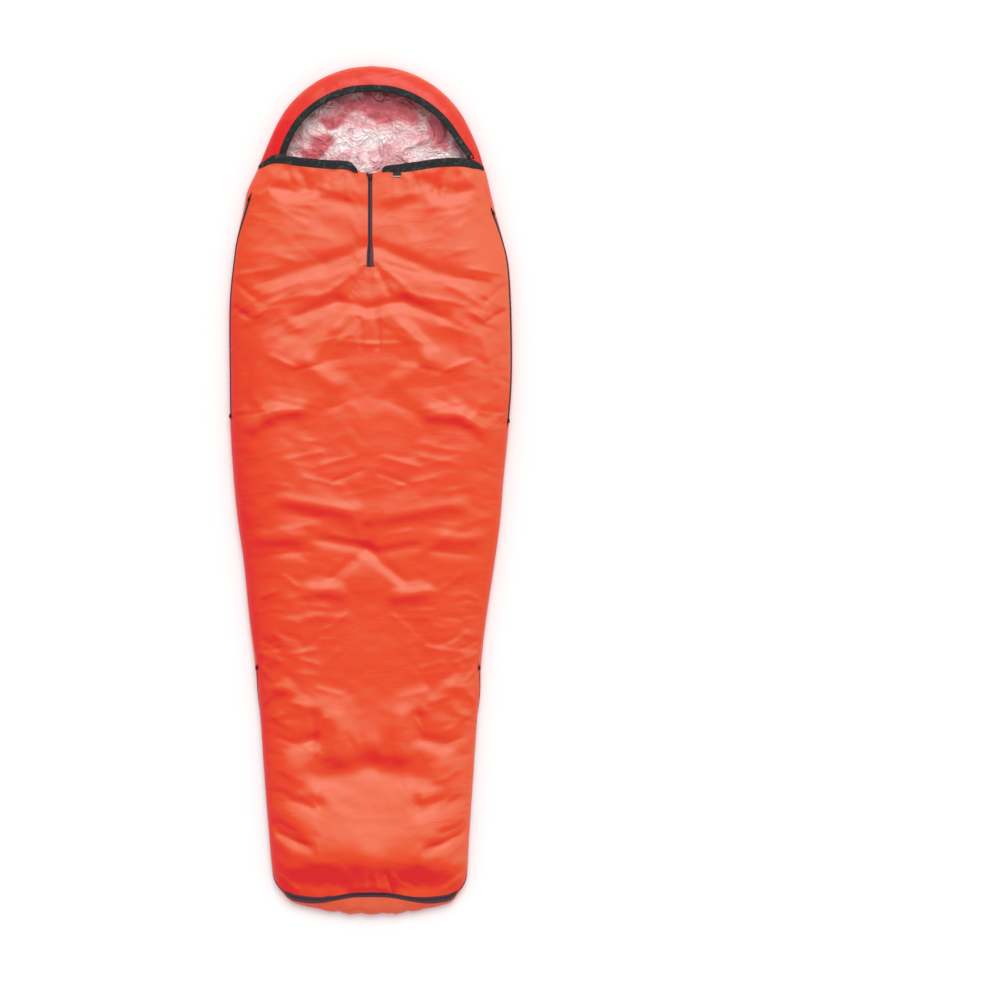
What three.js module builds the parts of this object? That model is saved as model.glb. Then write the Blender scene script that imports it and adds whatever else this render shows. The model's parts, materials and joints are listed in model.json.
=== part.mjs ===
// A mummy-shaped sleeping bag liner that lies open on its back: a flat back panel, an edge that curls up to
// the seams, a softly folded front panel, a gathered hood lined with foil, dark bindings and four zips.
// Millimetres, +Z up, +Y to the head, origin on the ground under the middle of the bag.

import * as THREE from "three";

// Sheets and gaps
const clothThickness = 1.2;
const halfCloth = clothThickness / 2;
const pieceGap = 0.45;
const seamGap = 0.7;
const groundGap = 0.6;
const groundLevel = halfCloth;

// Profile of the bag's edge: the ground curls up to the widest line, then the cloth rises to the crown
const widestHeight = 14;
const curlReach = 22;
const hoodReach = 60;
const bodyReach = 118;

// Round top of the hood
const headRadius = 264;
const headCentre = { across: 3, along: 785 };
const headArcDegrees = [90, 78, 66, 54, 43, 33, 23];

// Edge of the bag as seen from above, from the hood to the foot, and how far along the profile above the
// widest line the side seam runs there (negative: under it)
const edgeRows = [
  { along: 839, left: -261, right: 267, seam: 0 },
  { along: 812, left: -272, right: 275, seam: 2 },
  { along: 780, left: -286, right: 286, seam: 19 },
  { along: 740, left: -305, right: 295, seam: 26 },
  { along: 691, left: -315, right: 307, seam: 18 },
  { along: 617, left: -332, right: 327, seam: 9 },
  { along: 568, left: -339, right: 339, seam: 9 },
  { along: 469, left: -349, right: 347, seam: 11 },
  { along: 272, left: -349, right: 349, seam: 11 },
  { along: 148, left: -347, right: 340, seam: 12 },
  { along: 25, left: -339, right: 328, seam: 10 },
  { along: -74, left: -329, right: 320, seam: 10 },
  { along: -173, left: -315, right: 307, seam: 10 },
  { along: -321, left: -300, right: 285, seam: 12 },
  { along: -425, left: -287, right: 273, seam: 16 },
  { along: -490, left: -280, right: 270, seam: 4 },
  { along: -568, left: -273, right: 263, seam: -6 },
  { along: -716, left: -263, right: 253, seam: -8 },
  { along: -864, left: -251, right: 243, seam: -7 },
  { along: -943, left: -243, right: 238, seam: -3 },
  { along: -975, left: -233, right: 231, seam: 6 },
  { along: -1000, left: -215, right: 215, seam: 16 },
  { along: -1019, left: -195, right: 199, seam: 24 },
  { along: -1028, left: -167, right: 172, seam: 28 },
  { along: -1035, left: -138, right: 142, seam: 34 },
  { along: -1043, left: -100, right: 103, seam: 47 },
  { along: -1048, left: -50, right: 52, seam: 61 },
];
const footEdge = { along: -1049, across: 1, seam: 64 };

// Height of the cloth's crown along the bag
const crownRows = [
  { along: 1049, height: 50 },
  { along: 800, height: 52 },
  { along: 640, height: 58 },
  { along: 430, height: 64 },
  { along: 60, height: 68 },
  { along: -280, height: 62 },
  { along: -640, height: 58 },
  { along: -860, height: 62 },
  { along: -980, height: 54 },
  { along: -1049, height: 52 },
];

// Rim of the hood: how far inside the edge it lies on each side
const rimRows = [
  { along: 1049, left: 49, right: 49 },
  { along: 1038, left: 47, right: 47 },
  { along: 982, left: 41, right: 41 },
  { along: 930, left: 36, right: 34 },
  { along: 881, left: 34, right: 27 },
  { along: 850, left: 35, right: 20 },
  { along: 825, left: 38, right: 12 },
];
const hoodBindingWidth = 18;

// The hood ends at the neck: the edge's own distance along the bag where its seam and its rim stop
const hoodEnds = { left: { seam: 812, rim: 852 }, right: { seam: 800, rim: 836 } };

// Neck edge of the front panel from side to side, and how deep the tape reaches over it
const neckRows = [
  { across: -279, along: 800, tape: 9 },
  { across: -262, along: 810, tape: 14 },
  { across: -243, along: 822, tape: 20 },
  { across: -222, along: 824, tape: 21 },
  { across: -190, along: 819, tape: 22 },
  { across: -154, along: 815, tape: 21 },
  { across: -100, along: 810, tape: 20 },
  { across: -52, along: 807, tape: 20 },
  { across: -38, along: 795, tape: 14 },
  { across: -28, along: 783, tape: 4 },
  { across: -10, along: 781, tape: 0 },
  { across: 12, along: 781, tape: 0 },
  { across: 27, along: 785, tape: 4 },
  { across: 36, along: 795, tape: 12 },
  { across: 60, along: 799, tape: 17 },
  { across: 112, along: 806, tape: 21 },
  { across: 166, along: 814, tape: 23 },
  { across: 216, along: 816, tape: 23 },
  { across: 250, along: 812, tape: 20 },
  { across: 270, along: 804, tape: 14 },
  { across: 282, along: 793, tape: 8 },
];
const neckTapeEnds = { left: -30, right: 29 };

// Main folds of the front panel. Each runs from one point to another, is that wide to either side and rises
// (or, when negative, sinks) that much. A fold with a mate has a near twin across the middle, moved by the
// mate's shift and scaled by its strength, because the cloth lies a little unevenly.
const folds = [
  { from: [-165, 782], to: [-158, 738], width: 12, rise: -4, mate: { shift: [8, 4], strength: 1.1 } },
  { from: [-120, 780], to: [-126, 742], width: 11, rise: -4, mate: { shift: [-6, -3], strength: 0.9 } },
  { from: [-230, 745], to: [-182, 733], width: 15, rise: -7, mate: { shift: [14, -6], strength: 0.8 } },
  { from: [-115, 721], to: [-18, 698], width: 20, rise: -7, mate: { shift: [4, -14], strength: 0.9 } },
  { from: [120, 785], to: [162, 730], width: 14, rise: -6 },
  { from: [-12, 607], to: [-122, 556], width: 26, rise: -9, mate: { shift: [8, 0], strength: 0.9 } },
  { from: [-122, 556], to: [-258, 513], width: 28, rise: -9, mate: { shift: [22, -12], strength: 1 } },
  { from: [-172, 430], to: [-78, 464], width: 20, rise: -7, mate: { shift: [10, -5], strength: 1 } },
  { from: [-78, 464], to: [-6, 445], width: 20, rise: -7, mate: { shift: [4, 2], strength: 1 } },
  { from: [-36, 449], to: [-88, 395], width: 22, rise: 6, mate: { shift: [6, -8], strength: 0.9 } },
  { from: [-88, 395], to: [-147, 320], width: 24, rise: 6, mate: { shift: [-4, 2], strength: 0.9 } },
  { from: [-160, 312], to: [-90, 262], width: 22, rise: 5, mate: { shift: [-18, 8], strength: 0.8 } },
  { from: [-285, 156], to: [-236, 190], width: 17, rise: 6, mate: { shift: [-10, -6], strength: 1 } },
  { from: [-236, 190], to: [-176, 195], width: 17, rise: 6, mate: { shift: [-24, -10], strength: 1 } },
  { from: [-221, -25], to: [-41, -52], width: 20, rise: 6, mate: { shift: [-4, -14], strength: 0.9 } },
  { from: [-265, -116], to: [-180, -116], width: 18, rise: 5, mate: { shift: [0, -3], strength: 1 } },
  { from: [-6, -143], to: [-6, -94], width: 13, rise: -5 },
  { from: [-6, -143], to: [-117, -123], width: 15, rise: -5, mate: { shift: [0, -14], strength: 1 } },
  { from: [-6, -143], to: [-93, -217], width: 15, rise: -5, mate: { shift: [-10, -8], strength: 1 } },
  { from: [-147, -244], to: [-75, -254], width: 17, rise: 5, mate: { shift: [-10, -7], strength: 1 } },
  { from: [-302, -183], to: [-282, -412], width: 13, rise: 5, mate: { shift: [-10, 0], strength: 0.9 } },
  { from: [-276, -432], to: [-253, -476], width: 13, rise: -6, mate: { shift: [-10, 6], strength: 1 } },
  { from: [-258, -488], to: [-208, -488], width: 16, rise: 6, mate: { shift: [-6, 4], strength: 0.9 } },
  { from: [-140, -558], to: [-142, -616], width: 14, rise: -6, mate: { shift: [-20, 0], strength: 1 } },
  { from: [-142, -616], to: [-186, -632], width: 14, rise: -6, mate: { shift: [4, 0], strength: 1 } },
  { from: [-83, -566], to: [-83, -650], width: 28, rise: 6, mate: { shift: [-8, 6], strength: 1 } },
  { from: [-157, -735], to: [0, -655], width: 28, rise: -8 },
  { from: [0, -655], to: [147, -735], width: 28, rise: -8 },
  { from: [-190, -684], to: [-135, -746], width: 22, rise: 5, mate: { shift: [-6, 4], strength: 1 } },
  { from: [-245, -752], to: [-130, -778], width: 19, rise: -6, mate: { shift: [-8, -4], strength: 1 } },
  { from: [-170, -846], to: [170, -846], width: 52, rise: 6 },
  { from: [-246, -812], to: [-164, -881], width: 15, rise: -6, mate: { shift: [-6, -8], strength: 1 } },
  { from: [-214, -945], to: [-80, -962], width: 24, rise: -8, mate: { shift: [8, -3], strength: 1 } },
  { from: [0, -905], to: [0, -978], width: 38, rise: 6 },
];

// Folds fade in from the first distance to the second, measured from the seam and from the neck edge
const foldsPastSeam = [8, 55];
const foldsPastNeck = [24, 60];

// Zips: how wide each strip is, and where it starts and stops along the bag
const zipThickness = 1.2;
const sideZip = { width: 9, top: { left: 728, right: 694 }, bottom: { left: 175, right: 163 } };
const footZip = { width: 17, top: -430 };
const frontZip = { width: 11, footWidth: 17, top: 779, footTop: 590, widensOver: 10, bottom: 547 };

// Small blocks on the cloth: the seams' sliders, the front zip's slider with its pull, and the label tab.
// Each base is lifted that far above the cloth's face.
const seamSlider = { width: 6, length: 11, height: 3.2, lift: 0.95 };
const frontSlider = { width: 9, length: 13, height: 3.6, lift: 1.05 };
const frontPull = { width: 5, length: 15, height: 1.4, turn: 0.62, aside: -4, ahead: 4 };
const labelTab = { width: 20, length: 13, height: 1, lift: 1.4, across: 66, along: 778 };
const cornerCut = 0.45;

// Tape folded over an edge
const tapeThickness = 1.2;

// Foil lining: how far inside the outer cloth it lies, and where it ends under the front panel
const liningInset = 4;
const liningAtRim = clothThickness + pieceGap + 0.3;
const liningEnd = 493;

// Cord loop under the hood's rim
const loopRadius = 1.5;
const loopSides = 8;
const loopPoints = [
  { across: 5, along: 965, height: 44 },
  { across: 9, along: 958, height: 40 },
  { across: 20, along: 950, height: 33 },
  { across: 30, along: 952, height: 33 },
  { across: 37, along: 960, height: 40 },
  { across: 38, along: 966, height: 44 },
];

const orangeCloth = { color: 0xeb5528, roughness: 0.42, metalness: 0 };
const redCloth = { color: 0xe03a2c, roughness: 0.42, metalness: 0 };
const foil = { color: 0xcfb0b4, roughness: 0.28, metalness: 0.75 };
const blackTape = { color: 0x2d2d30, roughness: 0.7, metalness: 0 };
const plumZip = { color: 0x4b2332, roughness: 0.6, metalness: 0 };
const darkRedCord = { color: 0x6e1a26, roughness: 0.6, metalness: 0 };

const quarterTurn = Math.PI / 2;
const lerp = THREE.MathUtils.lerp;
const smoothstep = THREE.MathUtils.smoothstep;

// Reads one column of a table at a place, along straight lines between its rows
function readTable(rows, key, value, place) {
  const ordered = rows[0][key] < rows[rows.length - 1][key] ? rows : [...rows].reverse();
  if (place <= ordered[0][key]) return ordered[0][value];
  for (let i = 1; i < ordered.length; i += 1) {
    if (place <= ordered[i][key]) {
      const share = (place - ordered[i - 1][key]) / (ordered[i][key] - ordered[i - 1][key]);
      return lerp(ordered[i - 1][value], ordered[i][value], share);
    }
  }
  return ordered[ordered.length - 1][value];
}

// One side's edge as a fine line of points from the top of the head to the middle of the foot. Each holds its
// place, the inward direction and the seam's height along the profile.
function makeEdge(side) {
  const sign = side === "left" ? -1 : 1;
  const points = headArcDegrees.map((degrees) => {
    const angle = THREE.MathUtils.degToRad(degrees);
    const across = headCentre.across + sign * headRadius * Math.cos(angle);
    return new THREE.Vector3(across, headCentre.along + headRadius * Math.sin(angle), 0);
  });
  for (const row of edgeRows) points.push(new THREE.Vector3(row[side], row.along, row.seam));
  points.push(new THREE.Vector3(footEdge.across, footEdge.along, footEdge.seam));
  const line = new THREE.CatmullRomCurve3(points, false, "centripetal").getSpacedPoints(520);
  return line.map((point, index) => {
    const before = line[Math.max(0, index - 1)];
    const after = line[Math.min(line.length - 1, index + 1)];
    const run = new THREE.Vector2(after.x - before.x, after.y - before.y);
    if (index === 0 || index === line.length - 1) run.y = 0;
    run.normalize();
    const inward = new THREE.Vector2(sign * run.y, -sign * run.x);
    return { across: point.x, along: point.y, seam: point.z, inward };
  });
}

const edges = { left: makeEdge("left"), right: makeEdge("right") };

// A point of one side's edge at a share of the way from head (0) to foot (1)
function edgeAt(side, share) {
  const edge = edges[side];
  const place = THREE.MathUtils.clamp(share, 0, 1) * (edge.length - 1);
  const index = Math.min(edge.length - 2, Math.floor(place));
  const part = place - index;
  const here = edge[index];
  const next = edge[index + 1];
  return {
    across: lerp(here.across, next.across, part),
    along: lerp(here.along, next.along, part),
    seam: lerp(here.seam, next.seam, part),
    inward: here.inward.clone().lerp(next.inward, part).normalize(),
  };
}

// The share of the way along one side's edge at which it passes a place along the bag
function edgeShare(side, along) {
  const edge = edges[side];
  const index = edge.findIndex((point) => point.along <= along);
  if (index < 0) return 1;
  if (index === 0) return 0;
  const before = edge[index - 1].along;
  const part = (before - along) / (before - edge[index].along);
  return (index - 1 + part) / (edge.length - 1);
}

// How far a place is from the bag's edge, seen from above
function edgeDistance(across, along) {
  let nearest = Infinity;
  for (const edge of [edges.left, edges.right]) {
    for (let i = 0; i < edge.length; i += 1) {
      const dx = edge[i].across - across;
      const dy = edge[i].along - along;
      nearest = Math.min(nearest, dx * dx + dy * dy);
    }
  }
  return Math.sqrt(nearest);
}

const crownHeight = (along) => readTable(crownRows, "along", "height", along);
const profileReach = (along) => lerp(bodyReach, hoodReach, smoothstep(along, 620, 800));

// The edge profile at an angle: 0 is the crown, a quarter turn the widest line and a half turn the ground
function profilePoint(angle, along) {
  const swing = 1 - Math.sin(angle);
  const lift = Math.cos(angle);
  const rise = crownHeight(along) - widestHeight;
  if (angle <= quarterTurn) return { inset: profileReach(along) * swing, height: widestHeight + rise * lift };
  return { inset: curlReach * swing, height: widestHeight + (widestHeight - groundLevel) * lift };
}

// The angle reached by walking up the profile from the widest line (down it when the distance is negative)
function profileAngle(distance, along) {
  const step = 0.004 * Math.sign(distance || 1);
  let angle = quarterTurn;
  let walked = 0;
  let here = profilePoint(angle, along);
  while (walked < Math.abs(distance) && angle > 0 && angle < Math.PI) {
    angle -= step;
    const next = profilePoint(angle, along);
    walked += Math.hypot(next.inset - here.inset, next.height - here.height);
    here = next;
  }
  return THREE.MathUtils.clamp(angle, 0, Math.PI);
}

// A point of the edge profile in space, moved inside the cloth by an inset. The normal points out of the bag.
function edgePoint(side, share, angle, depth = 0) {
  const edge = edgeAt(side, share);
  const { inset, height } = profilePoint(angle, edge.along);
  const upper = angle <= quarterTurn;
  const reach = upper ? profileReach(edge.along) : curlReach;
  const rise = upper ? crownHeight(edge.along) - widestHeight : widestHeight - groundLevel;
  const outward = new THREE.Vector2(Math.sin(angle) / reach, Math.cos(angle) / rise).normalize();
  const inside = inset + depth * outward.x;
  const normal = new THREE.Vector3(-edge.inward.x * outward.x, -edge.inward.y * outward.x, outward.y);
  const position = new THREE.Vector3(
    edge.across + edge.inward.x * inside,
    edge.along + edge.inward.y * inside,
    height - depth * outward.y,
  );
  return { position, normal };
}

// Rise or fall of all folds at a place on the front panel
function foldRise(across, along) {
  let total = 0;
  for (const fold of folds) {
    total += oneFold(fold.from, fold.to, fold.width, fold.rise, across, along);
    if (fold.mate) {
      const [dx, dy] = fold.mate.shift;
      const from = [-fold.from[0] + dx, fold.from[1] + dy];
      const to = [-fold.to[0] + dx, fold.to[1] + dy];
      total += oneFold(from, to, fold.width, fold.rise * fold.mate.strength, across, along);
    }
  }
  return total;
}

// One soft fold: a bell across its line that fades out past both ends
function oneFold(from, to, width, rise, across, along) {
  const runX = to[0] - from[0];
  const runY = to[1] - from[1];
  const length = Math.hypot(runX, runY);
  const alongRun = ((across - from[0]) * runX + (along - from[1]) * runY) / length;
  const aside = ((across - from[0]) * runY - (along - from[1]) * runX) / length;
  const past = Math.max(0, -alongRun, alongRun - length);
  return rise * Math.exp(-((aside * aside + past * past) / (width * width)));
}

// Height of the upper cloth above the ground at a place seen from above
function topHeight(across, along) {
  const distance = edgeDistance(across, along);
  const share = Math.min(1, distance / profileReach(along));
  const rise = crownHeight(along) - widestHeight;
  const fromNeck = readTable(neckRows, "across", "along", across) - along;
  const fade = smoothstep(distance, ...foldsPastSeam) * smoothstep(fromNeck, ...foldsPastNeck);
  return widestHeight + rise * Math.sqrt(1 - (1 - share) ** 2) + fade * foldRise(across, along);
}

// Half the gap between the two panels at a place along the seam, wide where a zip lies in it
function seamHalfGap(side, along) {
  if (along <= footZip.top) return footZip.width / 2 + seamGap;
  if (along <= sideZip.top[side] && along >= sideZip.bottom[side]) return sideZip.width / 2 + seamGap;
  return seamGap / 2;
}

// A point beside the seam: aside is measured over the cloth, up from the seam's middle line
function seamPoint(side, share, aside) {
  const edge = edgeAt(side, share);
  return edgePoint(side, share, profileAngle(edge.seam + aside, edge.along));
}

// Stretches of the edge in which the front panel's side border (y) and its foot border (x) lie
const borderSearch = { y: { from: 860, to: -1030 }, x: { from: -930, to: footEdge.along } };
const sideBorder = { from: 830, to: -990 };
const footBorderFrom = -968;

// A point of the front panel's border
function borderPoint(side, share) {
  return seamPoint(side, share, seamHalfGap(side, edgeAt(side, share).along)).position;
}

// The share of the way along one side's edge at which its border passes a place on the given axis
function borderShare(side, axis, place) {
  let low = edgeShare(side, borderSearch[axis].from);
  let high = edgeShare(side, borderSearch[axis].to);
  const rising = borderPoint(side, high)[axis] > borderPoint(side, low)[axis];
  for (let pass = 0; pass < 22; pass += 1) {
    const middle = (low + high) / 2;
    if (borderPoint(side, middle)[axis] > place === rising) high = middle;
    else low = middle;
  }
  return (low + high) / 2;
}

// Collects the middle surface of a sheet, then gives it its thickness as one closed body
class Sheet {
  constructor() {
    this.points = [];
    this.faces = [];
  }

  add(position) {
    this.points.push(position);
    return this.points.length - 1;
  }

  // Faces between two rows of point numbers of the same length
  strip(lower, upper, skip = () => false) {
    for (let i = 0; i + 1 < lower.length; i += 1) {
      if (!skip(i)) this.quad(lower[i], lower[i + 1], upper[i + 1], upper[i]);
    }
  }

  quad(a, b, c, d) {
    this.triangle(a, b, c);
    this.triangle(a, c, d);
  }

  triangle(a, b, c) {
    if (a !== b && b !== c && a !== c) this.faces.push([a, b, c]);
  }

  normals() {
    const normals = this.points.map(() => new THREE.Vector3());
    for (const [a, b, c] of this.faces) {
      const first = this.points[b].clone().sub(this.points[a]);
      const second = this.points[c].clone().sub(this.points[a]);
      const normal = first.cross(second);
      for (const index of [a, b, c]) normals[index].add(normal);
    }
    return normals.map((normal) => normal.normalize());
  }

  geometry(thickness) {
    const normals = this.normals();
    const outer = this.points.map((point, i) => point.clone().addScaledVector(normals[i], thickness / 2));
    const inner = this.points.map((point, i) => point.clone().addScaledVector(normals[i], -thickness / 2));
    const count = this.points.length;
    const index = [];
    const borders = new Map();
    for (const [a, b, c] of this.faces) {
      index.push(a, b, c, a + count, c + count, b + count);
      for (const [from, to] of [[a, b], [b, c], [c, a]]) {
        if (borders.has(`${to} ${from}`)) borders.delete(`${to} ${from}`);
        else borders.set(`${from} ${to}`, [from, to]);
      }
    }
    for (const [from, to] of borders.values()) {
      index.push(from, from + count, to + count, from, to + count, to);
    }
    return closedGeometry([...outer, ...inner], index);
  }
}

function closedGeometry(points, index) {
  const geometry = new THREE.BufferGeometry();
  const numbers = points.flatMap((p) => [p.x, p.y, p.z]);
  geometry.setAttribute("position", new THREE.Float32BufferAttribute(numbers, 3));
  geometry.setIndex(index);
  geometry.computeVertexNormals();
  return geometry;
}

// A tape folded over an edge: a channel section carried along frames. Each frame has the cloth's edge, the
// direction out over it, the cloth's normal, and how deep the tape reaches.
function channelGeometry(frames, slotHalf) {
  const outerHalf = slotHalf + tapeThickness;
  const nose = pieceGap + tapeThickness;
  const shoulder = nose * 0.6;
  const sections = frames.map(({ edge, out, normal, depth }) => {
    const section = [
      [-depth, slotHalf],
      [pieceGap, slotHalf],
      [pieceGap, -slotHalf],
      [-depth, -slotHalf],
      [-depth, -outerHalf],
      [shoulder, -outerHalf],
      [nose, -outerHalf / 2],
      [nose, outerHalf / 2],
      [shoulder, outerHalf],
      [-depth, outerHalf],
    ];
    return section.map(([u, v]) => edge.clone().addScaledVector(out, u).addScaledVector(normal, v));
  });
  return sweptGeometry(sections);
}

// Joins equal closed sections into a body with flat ends
function sweptGeometry(sections) {
  const sides = sections[0].length;
  const index = [];
  for (let s = 0; s + 1 < sections.length; s += 1) {
    for (let i = 0; i < sides; i += 1) {
      const a = s * sides + i;
      const b = s * sides + ((i + 1) % sides);
      index.push(a, a + sides, b, b, a + sides, b + sides);
    }
  }
  const flat = sections.map((section) => {
    const centre = section.reduce((sum, p) => sum.add(p), new THREE.Vector3()).divideScalar(sides);
    const first = section[0].clone().sub(centre).normalize();
    const arms = section.map((p) => p.clone().sub(centre));
    const normal = new THREE.Vector3();
    arms.forEach((arm, i) => normal.add(arm.clone().cross(arms[(i + 1) % sides])));
    const second = normal.normalize().cross(first);
    return arms.map((arm) => new THREE.Vector2(arm.dot(first), arm.dot(second)));
  });
  const cap = (section, offset, flip) => {
    for (const [a, b, c] of THREE.ShapeUtils.triangulateShape(flat[section], [])) {
      if (flip) index.push(offset + a, offset + c, offset + b);
      else index.push(offset + a, offset + b, offset + c);
    }
  };
  cap(0, 0, false);
  cap(sections.length - 1, (sections.length - 1) * sides, true);
  return outwardGeometry(sections.flat(), index);
}

// Turns every face of a closed body outward
function outwardGeometry(points, index) {
  let volume = 0;
  for (let i = 0; i < index.length; i += 3) {
    volume += points[index[i]].dot(points[index[i + 1]].clone().cross(points[index[i + 2]]));
  }
  const turned = volume < 0 ? index.map((_, i) => index[i - (i % 3) + [0, 2, 1][i % 3]]) : index;
  return closedGeometry(points, turned);
}

const bag = new THREE.Group();

function addPiece(name, geometry, finish) {
  const mesh = new THREE.Mesh(geometry, new THREE.MeshStandardMaterial(finish));
  mesh.name = name;
  bag.add(mesh);
  return mesh;
}

// Profile angle at which the hood's rim, or a line further inside it, lies
function rimAngle(side, share, extra) {
  const { along } = edgeAt(side, share);
  const inset = readTable(rimRows, "along", side, along) + extra;
  return Math.asin(Math.max(0, 1 - inset / profileReach(along)));
}

// A point near the rim, flat once it is past the profile's crown
function rimPoint(side, share, extra, depth) {
  const edge = edgeAt(side, share);
  const inset = readTable(rimRows, "along", side, edge.along) + extra;
  const point = edgePoint(side, share, rimAngle(side, share, extra), depth);
  const beyond = Math.max(0, inset - profileReach(edge.along));
  point.position.x += edge.inward.x * beyond;
  point.position.y += edge.inward.y * beyond;
  return point;
}

// Half of the slit for the front zip at a place along the bag
function slitHalf(along) {
  const wide = 1 - smoothstep(along, frontZip.footTop, frontZip.footTop + frontZip.widensOver);
  return lerp(frontZip.width, frontZip.footWidth, wide) / 2 + pieceGap;
}

// The front panel's end along the foot zip, from side to side
function footLine() {
  const half = (side) => {
    const start = edgeShare(side, footBorderFrom);
    return [...Array(61).keys()].map((i) => borderPoint(side, lerp(start, 1, i / 60)));
  };
  return [...half("left"), ...half("right").reverse().slice(1)].map(({ x, y }) => ({ across: x, along: y }));
}

// The front panel's side border, from neck to foot
function borderLine(side) {
  const start = edgeShare(side, sideBorder.from);
  const stop = edgeShare(side, sideBorder.to);
  return [...Array(241).keys()].map((i) => {
    const share = lerp(start, stop, i / 240);
    const edge = edgeAt(side, share);
    const { x, y } = borderPoint(side, share);
    const angle = profileAngle(edge.seam + seamHalfGap(side, edge.along), edge.along);
    return { along: y, across: x, angle };
  });
}

const sideColumns = 5;
const halfColumns = 7;
const panelRows = 54;
const leastFirstRow = 12;
const middleColumn = sideColumns + halfColumns;
const lastColumn = 2 * middleColumn + 1;

// Front panel as a grid of points: rows from the neck to the foot, columns from the left seam to the right
// seam, with the slit for the zip between the two middle columns. The stations are the shares of the way
// along each side's edge at which the panel's border has its points, so that all that is sewn to it can share
// them.
function frontPanelGrid() {
  const foot = footLine();
  const borders = { left: borderLine("left"), right: borderLine("right") };
  const stations = { left: [], right: [] };
  const columnPlace = (column, along) => {
    const side = column <= middleColumn ? "left" : "right";
    const sign = side === "left" ? -1 : 1;
    const step = side === "left" ? column : lastColumn - column;
    const edge = readTable(edges[side], "along", "across", along);
    if (step === 0) return { across: readTable(borders[side], "along", "across", along), height: null };
    if (step <= sideColumns) {
      const angle = lerp(readTable(borders[side], "along", "angle", along), 0, step / sideColumns);
      const profile = profilePoint(angle, along);
      return { across: edge - sign * profile.inset, height: angle > quarterTurn ? profile.height : null };
    }
    const plateau = edge - sign * profileReach(along);
    const slit = sign * slitHalf(along);
    return { across: lerp(plateau, slit, (step - sideColumns) / halfColumns), height: null };
  };
  const grid = [];
  for (let row = 0; row <= panelRows; row += 1) {
    const points = [];
    for (let column = 0; column <= lastColumn; column += 1) {
      let along = 0;
      let place = { across: lerp(-280, 280, column / lastColumn), height: null };
      for (let pass = 0; pass < 8; pass += 1) {
        const neck = readTable(neckRows, "across", "along", place.across);
        const tape = Math.max(leastFirstRow, readTable(neckRows, "across", "tape", place.across));
        const end = readTable(foot, "across", "along", place.across);
        along = row === 0 ? neck : lerp(neck - tape - 1, end, (row - 1) / (panelRows - 1));
        place = columnPlace(column, along);
      }
      points.push(new THREE.Vector3(place.across, along, place.height ?? topHeight(place.across, along)));
    }
    for (const side of ["left", "right"]) {
      const column = side === "left" ? 0 : lastColumn;
      const share = borderShare(side, "y", points[column].y);
      stations[side].push(share);
      points[column] = borderPoint(side, share);
    }
    grid.push(points);
  }
  const lastRow = grid[panelRows];
  for (const side of ["left", "right"]) {
    for (let step = 1; step <= middleColumn; step += 1) {
      const column = side === "left" ? step : lastColumn - step;
      const share = borderShare(side, "x", lastRow[column].x);
      stations[side].push(share);
      lastRow[column] = borderPoint(side, share);
    }
  }
  return { grid, stations };
}

const { grid: panelGrid, stations: panelStations } = frontPanelGrid();

function makeFrontPanel() {
  const sheet = new Sheet();
  const rows = panelGrid.map((row) => row.map((point) => sheet.add(point.clone())));
  for (let row = 0; row + 1 < rows.length; row += 1) {
    const open = panelGrid[row][middleColumn].y > frontZip.bottom;
    sheet.strip(rows[row + 1], rows[row], (column) => open && column === middleColumn);
  }
  addPiece("front_panel", sheet.geometry(clothThickness), orangeCloth);
}

// Stations of one side's hood from the top of the head to the neck, at a level from seam (0) to rim (1)
const hoodSteps = 18;

function hoodShare(side, level, step) {
  return (edgeShare(side, lerp(hoodEnds[side].seam, hoodEnds[side].rim, level)) * step) / hoodSteps;
}

// Rows of a ring that runs from the left neck over the head to the right neck
function hoodPlaces(level) {
  const places = [];
  for (let step = hoodSteps; step > 0; step -= 1) {
    places.push({ side: "left", share: hoodShare("left", level, step) });
  }
  for (let step = 0; step <= hoodSteps; step += 1) {
    places.push({ side: "right", share: hoodShare("right", level, step) });
  }
  return places;
}

// Back of the bag: a flat panel on the ground, and around it an edge that curls up to the seams and, at the
// foot, over to the zip
function makeBack() {
  const curl = new Sheet();
  const ground = new Sheet();
  const curlSteps = 4;
  const rings = {};
  const groundEnds = {};
  for (const side of ["left", "right"]) {
    const hoodShares = [...Array(hoodSteps + 1).keys()].map((step) => hoodShare(side, 0, step));
    const shares = [...hoodShares, ...panelStations[side], 1];
    const meets = (i) => side === "right" && (i === 0 || i === shares.length - 1);
    rings[side] = shares.map((share, i) => {
      if (meets(i)) return rings.left[i];
      const edge = edgeAt(side, share);
      const top = profileAngle(edge.seam - seamHalfGap(side, edge.along), edge.along);
      return [...Array(curlSteps + 1).keys()].map((step) => (
        curl.add(edgePoint(side, share, lerp(top, Math.PI, step / curlSteps)).position)
      ));
    });
    groundEnds[side] = shares.map((share, i) => {
      if (meets(i)) return groundEnds.left[i];
      const { inward } = edgeAt(side, share);
      const { position } = edgePoint(side, share, Math.PI);
      position.x += inward.x * groundGap;
      position.y += inward.y * groundGap;
      return ground.add(position);
    });
  }
  joinRings(curl, rings);
  fillBetween(ground, groundEnds.left, groundEnds.right, 2);
  addPiece("back_edge", curl.geometry(clothThickness), orangeCloth);
  addPiece("back_panel", ground.geometry(clothThickness), orangeCloth);
}

// Joins the columns of both sides' rings
function joinRings(sheet, rings) {
  for (let i = 0; i + 1 < rings.left.length; i += 1) {
    sheet.strip(rings.left[i], rings.left[i + 1]);
    sheet.strip(rings.right[i + 1], rings.right[i]);
  }
}

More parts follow.
